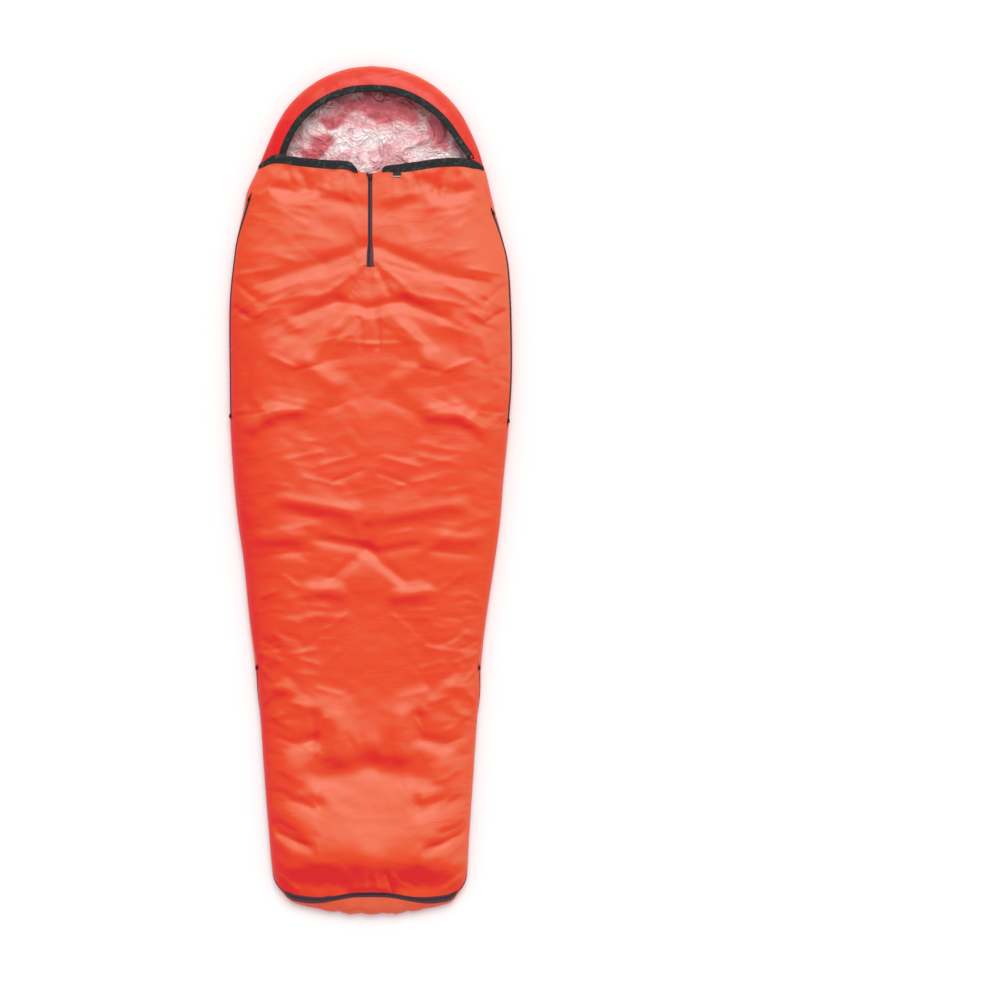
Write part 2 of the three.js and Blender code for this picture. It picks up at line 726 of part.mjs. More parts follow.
// Fills the ground between the two sides' points, row by row
function fillBetween(sheet, lefts, rights, columns) {
  let previous = null;
  lefts.forEach((from, i) => {
    const to = rights[i];
    const row = [from];
    for (let c = 1; c < columns; c += 1) {
      const point = sheet.points[from].clone().lerp(sheet.points[to], c / columns);
      row.push(from === to ? from : sheet.add(point));
    }
    row.push(to);
    if (previous) sheet.strip(previous, row);
    previous = row;
  });
}

const crescentSteps = 4;
const rimClothDepth = hoodBindingWidth - pieceGap - tapeThickness;
const rimSlack = 1;

// Hood: a crescent from the head seam up to the rim, with its last row inside the rim's tape
function makeHood() {
  const sheet = new Sheet();
  const rows = [...Array(crescentSteps + 1).keys()].map((step) => {
    const level = step / crescentSteps;
    return hoodPlaces(level).map(({ side, share }) => {
      const edge = edgeAt(side, share);
      const low = profileAngle(edge.seam + seamGap / 2, edge.along);
      return sheet.add(edgePoint(side, share, lerp(low, rimAngle(side, share, 0), level)).position);
    });
  });
  const rim = hoodPlaces(1).map(({ side, share }) => rimPoint(side, share, rimClothDepth, 0));
  rows.push(rim.map(({ position }) => sheet.add(position)));
  for (let k = 0; k + 1 < rows.length; k += 1) sheet.strip(rows[k + 1], rows[k]);
  addPiece("hood", sheet.geometry(clothThickness), redCloth);
}

// Tape over the hood's rim, holding the edges of the hood and of the lining
function makeHoodBinding() {
  const frames = hoodPlaces(1).slice(1, -1).map(({ side, share }) => {
    const rim = rimPoint(side, share, 0, liningAtRim / 2);
    const edge = rimPoint(side, share, rimClothDepth, liningAtRim / 2);
    const out = edge.position.clone().sub(rim.position).normalize();
    const along = new THREE.Vector3(0, 0, 1).cross(out);
    const normal = out.clone().cross(along).normalize();
    return { edge: edge.position, out, normal, depth: rimClothDepth - rimSlack };
  });
  const slotHalf = liningAtRim / 2 + halfCloth + pieceGap;
  addPiece("hood_binding", channelGeometry(frames, slotHalf), blackTape);
}

// Foil lining: up inside the hood to its rim, down to the ground and on under the front panel. Its last rows
// at the neck stop short of the rim's tape.
function makeLining() {
  const sheet = new Sheet();
  const groundColumns = 3;
  const levels = [0.75, 0.5, 0.25];
  const neckLevels = [0.9, 0.82];
  const curlSteps = 2;
  const underWidest = quarterTurn + 0.45;
  const underPanel = quarterTurn + 0.1;
  const rings = { left: [], right: [] };
  for (const side of ["left", "right"]) {
    for (let step = 0; step <= hoodSteps; step += 1) {
      if (side === "right" && step === 0) {
        rings.right.push(rings.left[0]);
        continue;
      }
      const crescentPoint = (level) => {
        const share = hoodShare(side, level, step);
        const angle = lerp(quarterTurn, rimAngle(side, share, 0), level);
        return edgePoint(side, share, angle, liningInset).position;
      };
      const rimShare = hoodShare(side, 1, step);
      const inRim = (extra) => rimPoint(side, rimShare, extra, liningAtRim).position;
      const upper = step < hoodSteps ? [rimClothDepth, rimSlack].map(inRim) : neckLevels.map(crescentPoint);
      const column = [...upper, ...levels.map(crescentPoint)].map((point) => sheet.add(point));
      for (let k = 0; k <= curlSteps; k += 1) {
        const angle = lerp(underWidest, Math.PI, k / curlSteps);
        column.push(sheet.add(edgePoint(side, hoodShare(side, 0, step), angle, liningInset).position));
      }
      rings[side].push(column);
    }
    for (const share of panelStations[side]) {
      if (edgeAt(side, share).along < liningEnd) break;
      const count = neckLevels.length + levels.length + curlSteps + 1;
      rings[side].push([...Array(count).keys()].map((k) => {
        const angle = lerp(underPanel, Math.PI, k / (count - 1));
        return sheet.add(edgePoint(side, share, angle, liningInset).position);
      }));
    }
  }
  const length = Math.min(rings.left.length, rings.right.length);
  const ends = ["left", "right"].map((side) => rings[side].slice(0, length).map((column) => column.at(-1)));
  joinRings(sheet, { left: rings.left.slice(0, length), right: rings.right.slice(0, length) });
  fillBetween(sheet, ...ends, groundColumns);
  addPiece("lining", sheet.geometry(clothThickness), foil);
}

// Tape over one half of the neck edge, on the front panel's own columns
function makeNeckBinding(side) {
  const [edgeRow, underRow] = panelGrid;
  const columns = edgeRow.map((_, column) => column).filter((column) => (
    side === "left" ? edgeRow[column].x < neckTapeEnds.left : edgeRow[column].x > neckTapeEnds.right
  ));
  const used = side === "left" ? columns.slice(1) : columns.slice(0, -1);
  const frames = used.map((column) => {
    const edge = edgeRow[column].clone();
    const run = edge.clone().sub(underRow[column]);
    const aside = edgeRow[column + 1].clone().sub(edgeRow[column - 1]);
    const out = run.clone().normalize();
    const depth = Math.min(run.length() - 0.5, readTable(neckRows, "across", "tape", edge.x));
    return { edge, out, normal: aside.cross(out).normalize(), depth };
  });
  addPiece(`neck_binding_${side}`, channelGeometry(frames, halfCloth + pieceGap + 0.2), blackTape);
}

// A zip strip along the seam through the given stations
function makeSeamZip(name, places, width) {
  const sheet = new Sheet();
  const columns = 3;
  const rows = places.map(({ side, share }) => (
    [...Array(columns + 1).keys()].map((c) => (
      sheet.add(seamPoint(side, share, lerp(-width / 2, width / 2, c / columns)).position)
    ))
  ));
  for (let i = 0; i + 1 < rows.length; i += 1) sheet.strip(rows[i], rows[i + 1]);
  addPiece(name, sheet.geometry(zipThickness), plumZip);
}

function makeZips() {
  for (const side of ["left", "right"]) {
    const shares = panelStations[side].filter((share) => {
      const { along } = edgeAt(side, share);
      return along <= sideZip.top[side] && along >= sideZip.bottom[side];
    });
    const places = shares.map((share) => ({ side, share }));
    makeSeamZip(`side_zip_${side}`, side === "left" ? places : places.reverse(), sideZip.width);
  }
  const footPlaces = (side) => {
    const shares = panelStations[side].filter((share) => edgeAt(side, share).along <= footZip.top);
    return shares.map((share) => ({ side, share }));
  };
  const across = [...footPlaces("left"), { side: "left", share: 1 }, ...footPlaces("right").reverse()];
  makeSeamZip("foot_zip", across, footZip.width);
}

// Front zip: a strip in the slit, wider at its foot
function makeFrontZip() {
  const sheet = new Sheet();
  const rows = [];
  const middle = panelGrid.map((row) => row[middleColumn].y);
  const alongs = middle.filter((y) => y < frontZip.top && y > frontZip.bottom + 12);
  const stops = [frontZip.top, ...alongs, frontZip.bottom + 8];
  for (const along of stops) {
    const half = slitHalf(along) - pieceGap;
    rows.push([-half, 0, half].map((across) => (
      sheet.add(new THREE.Vector3(across, along, topHeight(across, along)))
    )));
  }
  for (let i = 0; i + 1 < rows.length; i += 1) sheet.strip(rows[i + 1], rows[i]);
  addPiece("front_zip", sheet.geometry(zipThickness), plumZip);
}

// A small block with its edges taken off, lying on a surface: its long side runs along the given direction
function makeBlock(name, size, base, normal, run, finish) {
  const half = { x: size.width / 2, y: size.length / 2 };
  const cut = Math.min(half.x, half.y) * cornerCut;
  const shape = new THREE.Shape([
    new THREE.Vector2(-half.x + cut, -half.y),
    new THREE.Vector2(half.x - cut, -half.y),
    new THREE.Vector2(half.x, -half.y + cut),
    new THREE.Vector2(half.x, half.y - cut),
    new THREE.Vector2(half.x - cut, half.y),
    new THREE.Vector2(-half.x + cut, half.y),
    new THREE.Vector2(-half.x, half.y - cut),
    new THREE.Vector2(-half.x, -half.y + cut),
  ]);
  const geometry = new THREE.ExtrudeGeometry(shape, { depth: size.height, bevelEnabled: false });
  const mesh = addPiece(name, geometry, finish);
  const up = normal.clone().normalize();
  const aside = new THREE.Vector3().crossVectors(run, up).normalize();
  const forward = new THREE.Vector3().crossVectors(up, aside);
  mesh.setRotationFromMatrix(new THREE.Matrix4().makeBasis(aside, forward, up));
  mesh.position.copy(base);
}

function makeSeamSlider(name, side, along) {
  const share = edgeShare(side, along);
  const edge = edgeAt(side, share);
  const angle = profileAngle(edge.seam, edge.along);
  const { position, normal } = edgePoint(side, share, angle);
  const next = edgePoint(side, share + 0.004, angle).position;
  const run = position.clone().sub(next).normalize();
  const base = position.clone().addScaledVector(normal, halfCloth + seamSlider.lift);
  makeBlock(name, seamSlider, base, normal, run, darkRedCord);
}

function makeSliders() {
  makeSeamSlider("side_zip_slider_left_top", "left", sideZip.top.left - 9);
  makeSeamSlider("side_zip_slider_right_top", "right", sideZip.top.right - 9);
  makeSeamSlider("side_zip_slider_left_low", "left", sideZip.bottom.left + 8);
  makeSeamSlider("side_zip_slider_right_low", "right", sideZip.bottom.right + 8);
  makeSeamSlider("foot_zip_slider_left", "left", footZip.top - 9);
  makeSeamSlider("foot_zip_slider_right", "right", footZip.top - 9);
  const along = frontZip.top - 10;
  const up = new THREE.Vector3(0, 0, 1);
  const height = topHeight(0, along) + halfCloth + frontSlider.lift;
  const sliderBase = new THREE.Vector3(0, along, height);
  makeBlock("front_zip_slider", frontSlider, sliderBase, up, new THREE.Vector3(0, 1, 0), plumZip);
  const run = new THREE.Vector3(-Math.sin(frontPull.turn), Math.cos(frontPull.turn), 0);
  const pullHeight = height + frontSlider.height + pieceGap;
  const pullBase = new THREE.Vector3(frontPull.aside, along + frontPull.ahead, pullHeight);
  makeBlock("front_zip_pull", frontPull, pullBase, up, run, plumZip);
}

// Label tab: a short flap of tape on the cloth just below the right neck binding
function makeLabelTab() {
  const height = Math.max(
    topHeight(labelTab.across - labelTab.width / 2, labelTab.along),
    topHeight(labelTab.across + labelTab.width / 2, labelTab.along),
  );
  const lower = labelTab.along - labelTab.length / 2;
  const base = new THREE.Vector3(labelTab.across, lower, height + halfCloth + labelTab.lift);
  const up = new THREE.Vector3(0, 0, 1);
  makeBlock("label_tab", labelTab, base, up, new THREE.Vector3(0, 1, 0), blackTape);
}

// Cord loop that hangs from the hood's rim
function makeHoodLoop() {
  const points = loopPoints.map((point) => new THREE.Vector3(point.across, point.along, point.height));
  const shape = new THREE.Shape();
  for (let i = 0; i < loopSides; i += 1) {
    const angle = (i * 2 * Math.PI) / loopSides;
    const place = [loopRadius * Math.cos(angle), loopRadius * Math.sin(angle)];
    if (i === 0) shape.moveTo(...place);
    else shape.lineTo(...place);
  }
  shape.closePath();
  const path = new THREE.CatmullRomCurve3(points);
  addPiece("hood_loop", new THREE.ExtrudeGeometry(shape, { steps: 14, extrudePath: path }), darkRedCord);
}

makeBack();
makeFrontPanel();
makeHood();
makeLining();
makeHoodBinding();
makeNeckBinding("left");
makeNeckBinding("right");
makeFrontZip();
makeZips();
makeSliders();
makeLabelTab();
makeHoodLoop();

export default bag;
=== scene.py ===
"""Dresses a packed sleeping bag liner that lies open on its back, face up, with its head at +Y.

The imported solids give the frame, in metres. Each sheet is laid again here as a fine grid over the same edge,
crown and folds, and gets its seams, tapes, zips, sliders, foil and cloth.
"""

import json
import math
import random
from bisect import bisect_left
from collections import defaultdict, namedtuple

import bmesh
import bpy
from mathutils import Matrix, Vector, noise
from mathutils.geometry import intersect_point_line
from mathutils.kdtree import KDTree

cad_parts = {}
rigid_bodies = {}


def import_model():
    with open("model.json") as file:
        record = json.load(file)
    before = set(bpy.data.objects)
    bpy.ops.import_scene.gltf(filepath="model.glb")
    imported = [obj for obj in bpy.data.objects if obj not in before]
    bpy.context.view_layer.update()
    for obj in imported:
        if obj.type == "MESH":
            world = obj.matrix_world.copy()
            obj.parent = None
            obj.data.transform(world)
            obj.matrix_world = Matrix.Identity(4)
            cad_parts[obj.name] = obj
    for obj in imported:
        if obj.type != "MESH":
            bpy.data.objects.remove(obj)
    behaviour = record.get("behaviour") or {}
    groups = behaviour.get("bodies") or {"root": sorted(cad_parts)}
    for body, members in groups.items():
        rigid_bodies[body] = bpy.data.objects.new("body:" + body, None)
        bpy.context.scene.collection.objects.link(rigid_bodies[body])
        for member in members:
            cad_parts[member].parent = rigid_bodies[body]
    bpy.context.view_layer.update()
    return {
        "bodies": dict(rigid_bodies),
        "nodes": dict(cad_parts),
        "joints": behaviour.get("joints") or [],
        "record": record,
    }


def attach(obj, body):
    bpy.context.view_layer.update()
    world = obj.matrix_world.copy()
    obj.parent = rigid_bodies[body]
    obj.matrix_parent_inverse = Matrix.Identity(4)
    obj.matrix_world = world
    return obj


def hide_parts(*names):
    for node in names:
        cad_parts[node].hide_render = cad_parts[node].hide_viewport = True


bl_info = {
    "name": "Sleeping Bag Liner",
    "version": (1, 0, 0),
    "blender": (4, 5, 0),
    "location": "3D View > Sidebar > Liner",
    "description": "Lays out a mummy-shaped liner with its hood, foil, bindings and zips",
    "category": "Object",
}

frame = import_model()

# Profile of the bag's edge: the cloth curls up from the ground to the widest line, then rises to the crown
GROUND_LEVEL = 0.0006
WIDEST_HEIGHT = 0.014
CURL_REACH = 0.022
HOOD_REACH = 0.060
BODY_REACH = 0.118
REACH_CHANGE = (0.620, 0.800)

# Round top of the hood
HEAD_RADIUS = 0.264
HEAD_CENTRE = (0.003, 0.785)
HEAD_ARC_DEGREES = (90, 78, 66, 54, 43, 33, 23)

# Edge seen from above, and how far up the profile from the widest line the seam runs there
EdgeRow = namedtuple("EdgeRow", "along left right seam")
EDGE_ROWS = (
    EdgeRow(0.839, -0.261, 0.267, 0.0),
    EdgeRow(0.812, -0.272, 0.275, 0.002),
    EdgeRow(0.78, -0.286, 0.286, 0.019),
    EdgeRow(0.74, -0.305, 0.295, 0.026),
    EdgeRow(0.691, -0.315, 0.307, 0.018),
    EdgeRow(0.617, -0.332, 0.327, 0.009),
    EdgeRow(0.568, -0.339, 0.339, 0.009),
    EdgeRow(0.469, -0.349, 0.347, 0.011),
    EdgeRow(0.272, -0.349, 0.349, 0.011),
    EdgeRow(0.148, -0.347, 0.34, 0.012),
    EdgeRow(0.025, -0.339, 0.328, 0.01),
    EdgeRow(-0.074, -0.329, 0.32, 0.01),
    EdgeRow(-0.173, -0.315, 0.307, 0.01),
    EdgeRow(-0.321, -0.3, 0.285, 0.012),
    EdgeRow(-0.425, -0.287, 0.273, 0.016),
    EdgeRow(-0.49, -0.28, 0.27, 0.004),
    EdgeRow(-0.568, -0.273, 0.263, -0.006),
    EdgeRow(-0.716, -0.263, 0.253, -0.008),
    EdgeRow(-0.864, -0.251, 0.243, -0.007),
    EdgeRow(-0.943, -0.243, 0.238, -0.003),
    EdgeRow(-0.975, -0.233, 0.231, 0.006),
    EdgeRow(-1.0, -0.215, 0.215, 0.016),
    EdgeRow(-1.019, -0.195, 0.199, 0.024),
    EdgeRow(-1.028, -0.167, 0.172, 0.028),
    EdgeRow(-1.035, -0.138, 0.142, 0.034),
    EdgeRow(-1.043, -0.1, 0.103, 0.047),
    EdgeRow(-1.048, -0.05, 0.052, 0.061),
)
FOOT_EDGE = (0.001, -1.049, 0.064)

# Height of the cloth's crown along the bag
CrownRow = namedtuple("CrownRow", "along height")
CROWN_ROWS = (
    CrownRow(1.049, 0.05),
    CrownRow(0.8, 0.052),
    CrownRow(0.64, 0.058),
    CrownRow(0.43, 0.064),
    CrownRow(0.06, 0.068),
    CrownRow(-0.28, 0.062),
    CrownRow(-0.64, 0.058),
    CrownRow(-0.86, 0.062),
    CrownRow(-0.98, 0.054),
    CrownRow(-1.049, 0.052),
)

# Rim of the hood: how far inside the edge it lies on each side
RimRow = namedtuple("RimRow", "along left right")
RIM_ROWS = (
    RimRow(1.049, 0.049, 0.049),
    RimRow(1.038, 0.047, 0.047),
    RimRow(0.982, 0.041, 0.041),
    RimRow(0.93, 0.036, 0.034),
    RimRow(0.881, 0.034, 0.027),
    RimRow(0.85, 0.035, 0.02),
    RimRow(0.825, 0.038, 0.012),
)

# Where the seam and the rim of the hood stop at the neck
HoodEnd = namedtuple("HoodEnd", "seam rim")
HOOD_ENDS = {"left": HoodEnd(0.806, 0.828), "right": HoodEnd(0.797, 0.813)}
HOOD_SINKS = (0.0048, 0.034)

# Neck edge of the front panel, and how deep the tape reaches over it
NeckRow = namedtuple("NeckRow", "across along tape")
NECK_ROWS = (
    NeckRow(-0.279, 0.8, 0.009),
    NeckRow(-0.262, 0.81, 0.014),
    NeckRow(-0.243, 0.822, 0.02),
    NeckRow(-0.222, 0.824, 0.021),
    NeckRow(-0.19, 0.819, 0.022),
    NeckRow(-0.154, 0.815, 0.021),
    NeckRow(-0.1, 0.81, 0.02),
    NeckRow(-0.052, 0.807, 0.02),
    NeckRow(-0.038, 0.795, 0.014),
    NeckRow(-0.028, 0.783, 0.004),
    NeckRow(-0.01, 0.781, 0.0),
    NeckRow(0.012, 0.781, 0.0),
    NeckRow(0.027, 0.785, 0.004),
    NeckRow(0.036, 0.795, 0.012),
    NeckRow(0.06, 0.799, 0.017),
    NeckRow(0.112, 0.806, 0.021),
    NeckRow(0.166, 0.814, 0.023),
    NeckRow(0.216, 0.816, 0.023),
    NeckRow(0.25, 0.812, 0.02),
    NeckRow(0.27, 0.804, 0.014),
    NeckRow(0.282, 0.793, 0.008),
)
NECK_TAPE_ENDS = {"left": -0.030, "right": 0.029}

# A fold runs from start to end, reaches that far to either side, and rises or, when negative, sinks that
# much. A fold with a shift has a near twin across the middle, moved by the shift and scaled by the strength,
# because the cloth lies a little unevenly. A lean of 1 would put all of its width on its right-hand side.
Fold = namedtuple("Fold", "start end width rise shift strength lean", defaults=(None, 1, 0))
MAIN_FOLDS = (
    Fold((-0.165, 0.782), (-0.158, 0.738), 0.012, -0.004, (0.008, 0.004), 1.1),
    Fold((-0.12, 0.78), (-0.126, 0.742), 0.011, -0.004, (-0.006, -0.003), 0.9),
    Fold((-0.23, 0.745), (-0.182, 0.733), 0.015, -0.004, (0.014, -0.006), 0.8),
    Fold((-0.115, 0.721), (-0.018, 0.698), 0.02, -0.0025, (0.004, -0.014), 0.9),
    Fold((0.12, 0.785), (0.162, 0.73), 0.014, -0.004),
    Fold((-0.010, 0.598), (-0.110, 0.556), 0.018, -0.0055, (0.008, 0.0), 0.9),
    Fold((-0.122, 0.550), (-0.258, 0.513), 0.020, -0.0035, (0.022, -0.012), 1),
    Fold((-0.172, 0.43), (-0.078, 0.464), 0.016, -0.005, (0.01, -0.005), 1),
    Fold((-0.078, 0.464), (-0.006, 0.445), 0.014, -0.005, (0.004, 0.002), 1),
    Fold((-0.036, 0.449), (-0.088, 0.395), 0.016, 0.004, (0.006, -0.008), 0.9),
    Fold((-0.088, 0.395), (-0.147, 0.32), 0.018, 0.004, (-0.004, 0.002), 0.9),
    Fold((-0.16, 0.312), (-0.09, 0.262), 0.022, 0.005, (-0.018, 0.008), 0.8),
    Fold((-0.285, 0.156), (-0.236, 0.19), 0.017, 0.006, (-0.01, -0.006), 1),
    Fold((-0.236, 0.19), (-0.176, 0.195), 0.017, 0.006, (-0.024, -0.01), 1),
    Fold((-0.221, -0.025), (-0.041, -0.052), 0.016, 0.004, (-0.004, -0.014), 0.9),
    Fold((-0.265, -0.116), (-0.18, -0.116), 0.018, 0.005, (0.0, -0.003), 1),
    Fold((-0.006, -0.143), (-0.006, -0.094), 0.013, -0.005),
    Fold((-0.006, -0.143), (-0.117, -0.123), 0.011, -0.0035, (0.0, -0.014), 1),
    Fold((-0.006, -0.143), (-0.093, -0.217), 0.011, -0.0035, (-0.01, -0.008), 1),
    Fold((-0.147, -0.244), (-0.075, -0.254), 0.017, 0.005, (-0.01, -0.007), 1),
    Fold((-0.302, -0.183), (-0.282, -0.412), 0.013, 0.005, (-0.01, 0.0), 0.9),
    Fold((-0.276, -0.432), (-0.253, -0.476), 0.013, -0.006, (-0.01, 0.006), 1),
    Fold((-0.258, -0.488), (-0.208, -0.488), 0.016, 0.006, (-0.006, 0.004), 0.9),
    Fold((-0.14, -0.558), (-0.142, -0.616), 0.014, -0.006, (-0.02, 0.0), 1),
    Fold((-0.142, -0.616), (-0.186, -0.632), 0.014, -0.006, (0.004, 0.0), 1),
    Fold((-0.083, -0.566), (-0.083, -0.65), 0.028, 0.006, (-0.008, 0.006), 1),
    Fold((-0.157, -0.720), (0.0, -0.680), 0.030, -0.006),
    Fold((0.0, -0.680), (0.147, -0.720), 0.030, -0.006),
    Fold((-0.19, -0.684), (-0.135, -0.746), 0.022, 0.005, (-0.006, 0.004), 1),
    Fold((-0.245, -0.752), (-0.13, -0.778), 0.019, -0.006, (-0.008, -0.004), 1),
    Fold((-0.150, -0.912), (0.150, -0.912), 0.070, 0.013, lean=-0.55),
    Fold((-0.246, -0.812), (-0.164, -0.878), 0.013, -0.007, (-0.006, -0.008), 1),
    Fold((-0.170, -0.875), (-0.172, -0.915), 0.012, -0.006, (-0.006, -0.004), 1),
    Fold((-0.205, -0.972), (-0.08, -0.972), 0.024, -0.006, (0.008, -0.003), 1),
    Fold((0.0, -0.905), (0.0, -0.978), 0.038, 0.006),
)
FINE_FOLDS = (
    # Gathers under the neck tape
    Fold((-0.170, 0.785), (-0.150, 0.735), 0.006, -0.0022, (0.010, 0.004), 1.0),
    Fold((-0.145, 0.787), (-0.142, 0.757), 0.005, 0.0016, (-0.006, 0.004), 0.9),
    Fold((-0.092, 0.784), (-0.104, 0.752), 0.006, -0.0020, (0.012, -0.006), 1.0),
    Fold((-0.070, 0.786), (-0.082, 0.768), 0.005, 0.0014, (0.004, 0.0), 1.0),
    Fold((-0.205, 0.790), (-0.190, 0.752), 0.007, -0.0022, (0.010, -0.012), 1.0),
    # Folds that leave the foot of the front zip
    Fold((-0.012, 0.548), (-0.046, 0.478), 0.007, -0.0030, (0.002, 0.004), 1.0),
    Fold((-0.020, 0.552), (-0.082, 0.500), 0.008, 0.0026, (0.0, 0.004), 1.0),
    Fold((0.0, 0.540), (-0.004, 0.488), 0.006, -0.0020),
    Fold((-0.030, 0.560), (-0.120, 0.532), 0.008, -0.0026, (0.0, 0.0), 1.0),
    # Short upright creases on the chest
    Fold((-0.024, 0.420), (-0.023, 0.352), 0.0055, -0.0034),
    Fold((0.021, 0.412), (0.020, 0.350), 0.0055, -0.0034),
    Fold((-0.002, 0.462), (0.004, 0.400), 0.010, 0.0016),
    # Zigzags near the side seams
    Fold((-0.338, 0.450), (-0.290, 0.420), 0.009, -0.0036, (-0.006, -0.008), 1.0),
    Fold((-0.290, 0.420), (-0.262, 0.440), 0.008, 0.0026, (-0.006, -0.008), 1.0),
    Fold((-0.330, 0.510), (-0.270, 0.462), 0.010, -0.0030, (0.010, 0.0), 1.0),
    Fold((-0.262, 0.370), (-0.300, 0.250), 0.010, 0.0020, (0.010, 0.010), 1.0),
    Fold((-0.250, 0.330), (-0.180, 0.300), 0.008, 0.0022, (0.0, -0.010), 1.0),
    Fold((-0.300, 0.300), (-0.298, 0.180), 0.012, -0.0022, (0.010, 0.0), 1.0),
    Fold((-0.180, 0.295), (-0.120, 0.308), 0.007, -0.0020, (0.006, -0.008), 1.0),
    Fold((-0.280, 0.220), (-0.240, 0.165), 0.010, 0.0024, (0.0, -0.006), 1.0),
    # Belly
    Fold((-0.205, 0.075), (-0.120, 0.092), 0.010, 0.0016, (0.004, -0.010), 1.0),
    Fold((-0.120, 0.060), (-0.030, 0.085), 0.009, 0.0016, (0.0, -0.004), 1.0),
    Fold((-0.090, 0.020), (-0.020, 0.048), 0.007, -0.0018, (0.004, -0.006), 1.0),
    Fold((-0.160, 0.030), (-0.070, 0.010), 0.009, 0.0014, (0.0, 0.0), 1.0),
    # Knees
    Fold((-0.240, -0.160), (-0.150, -0.150), 0.012, -0.0020, (0.004, 0.0), 1.0),
    Fold((-0.215, -0.210), (-0.180, -0.238), 0.008, 0.0018, (0.004, -0.004), 1.0),
    Fold((-0.262, -0.262), (-0.235, -0.250), 0.007, 0.0020, (0.0, -0.006), 1.0),
    # Beside the foot zip's sliders
    Fold((-0.268, -0.438), (-0.240, -0.470), 0.006, 0.0030, (-0.004, 0.0), 1.0),
    Fold((-0.238, -0.352), (-0.212, -0.372), 0.007, 0.0018, (0.0, 0.0), 1.0),
    Fold((-0.262, -0.372), (-0.225, -0.392), 0.008, -0.0018, (0.0, 0.0), 1.0),
    Fold((-0.246, -0.505), (-0.262, -0.528), 0.006, 0.0026, (0.0, 0.0), 1.0),
    # Shins
    Fold((-0.232, -0.560), (-0.196, -0.590), 0.009, 0.0020, (0.0, 0.0), 1.0),
    Fold((-0.230, -0.610), (-0.190, -0.622), 0.008, -0.0020, (0.0, 0.0), 1.0),
    Fold((-0.110, -0.560), (-0.128, -0.592), 0.007, 0.0018, (0.0, 0.0), 1.0),
    Fold((-0.215, -0.690), (-0.180, -0.716), 0.008, 0.0020, (0.0, 0.0), 1.0),
    # Foot
    Fold((-0.262, -0.800), (-0.222, -0.850), 0.008, -0.0040, (-0.004, -0.004), 1.0),
    Fold((-0.222, -0.850), (-0.158, -0.876), 0.009, -0.0040, (-0.004, -0.004), 1.0),
    Fold((-0.165, -0.862), (-0.160, -0.900), 0.007, 0.0022, (0.0, 0.0), 1.0),
    Fold((-0.036, -0.946), (-0.050, -0.992), 0.007, -0.0036, (0.004, 0.0), 1.0),
    Fold((-0.010, -0.950), (-0.016, -0.990), 0.006, 0.0022, (0.004, 0.0), 1.0),
    Fold((0.0, -0.958), (0.0, -0.990), 0.006, -0.0024),
    Fold((-0.225, -0.950), (-0.180, -0.984), 0.008, 0.0028, (0.004, 0.0), 1.0),
)
# Small creases scattered over the upper cloth, each with its near twin: where they lie, how many, how they run
# in degrees and by how much that varies, and how long, wide and high they are
Creases = namedtuple("Creases", "low high near far count degrees spread length width rise")
SCATTERED = (
    Creases(0.745, 0.780, 0.05, 0.25, 9, 95, 20, 0.040, 0.0070, 0.0016),
    Creases(0.560, 0.740, 0.02, 0.26, 12, 160, 25, 0.090, 0.0100, 0.0009),
    Creases(0.330, 0.540, 0.02, 0.31, 20, 25, 30, 0.075, 0.0090, 0.0014),
    Creases(0.020, 0.330, 0.01, 0.31, 18, 4, 18, 0.080, 0.0085, 0.0007),
    Creases(-0.320, 0.020, 0.01, 0.27, 20, 0, 14, 0.070, 0.0085, 0.0009),
    Creases(-0.740, -0.320, 0.08, 0.25, 26, 20, 45, 0.050, 0.0085, 0.0012),
    Creases(-0.940, -0.740, 0.15, 0.23, 12, 130, 30, 0.055, 0.0085, 0.0018),
    Creases(-0.985, -0.935, 0.06, 0.20, 8, 60, 40, 0.040, 0.0075, 0.0014),
)


def scatter_folds():
    """The same scattered creases each time"""
    dice = random.Random(12)
    folds = []
    for row in SCATTERED:
        for _ in range(row.count):
            angle = math.radians(row.degrees + dice.uniform(-row.spread, row.spread))
            length = row.length * dice.uniform(0.6, 1.4)
            across = -dice.uniform(row.near, row.far)
            along = dice.uniform(row.low, row.high)
            half = (0.5 * length * math.cos(angle), 0.5 * length * math.sin(angle))
            start = (across - half[0], along - half[1])
            end = (across + half[0], along + half[1])
            shift = (dice.uniform(-0.008, 0.008), dice.uniform(-0.012, 0.012))
            width = row.width * dice.uniform(0.8, 1.3)
            rise = row.rise * dice.uniform(0.5, 1.3) * dice.choice((-1, 1, 1))
            folds.append(Fold(start, end, width, rise, shift, dice.uniform(0.6, 1.2), dice.uniform(-0.35, 0.35)))
    return folds


FOLDS_PAST_SEAM = (0.008, 0.055)
FOLDS_PAST_NECK = (0.024, 0.060)
FINE_PAST_SEAM = (0.004, 0.020)
FINE_PAST_NECK = (0.016, 0.026)

# Zips: how wide each strip is, and where it starts and stops along the bag
SIDE_ZIP_TOP = {"left": 0.728, "right": 0.694}
SIDE_ZIP_BOTTOM = {"left": 0.175, "right": 0.163}
FOOT_ZIP_TOP = -0.430
FOOT_ZIP_OPENS = (-1.008, -0.992)
FOOT_CORNER = -0.985
FRONT_ZIP_TOP = 0.779
FRONT_ZIP_FOOT_TOP = 0.590
FRONT_ZIP_BOTTOM = 0.547
FRONT_ZIP_WIDENS_OVER = 0.010
ZIP_EDGE_FADE = 0.006
LINING_END = 0.493

QUARTER_TURN = math.pi / 2
SIDES = ("left", "right")


# Lines and tables
def lerp(first, second, share):
    return first + (second - first) * share


def smoothstep(value, low, high):
    share = min(1, max(0, (value - low) / (high - low)))
    return share * share * (3 - 2 * share)


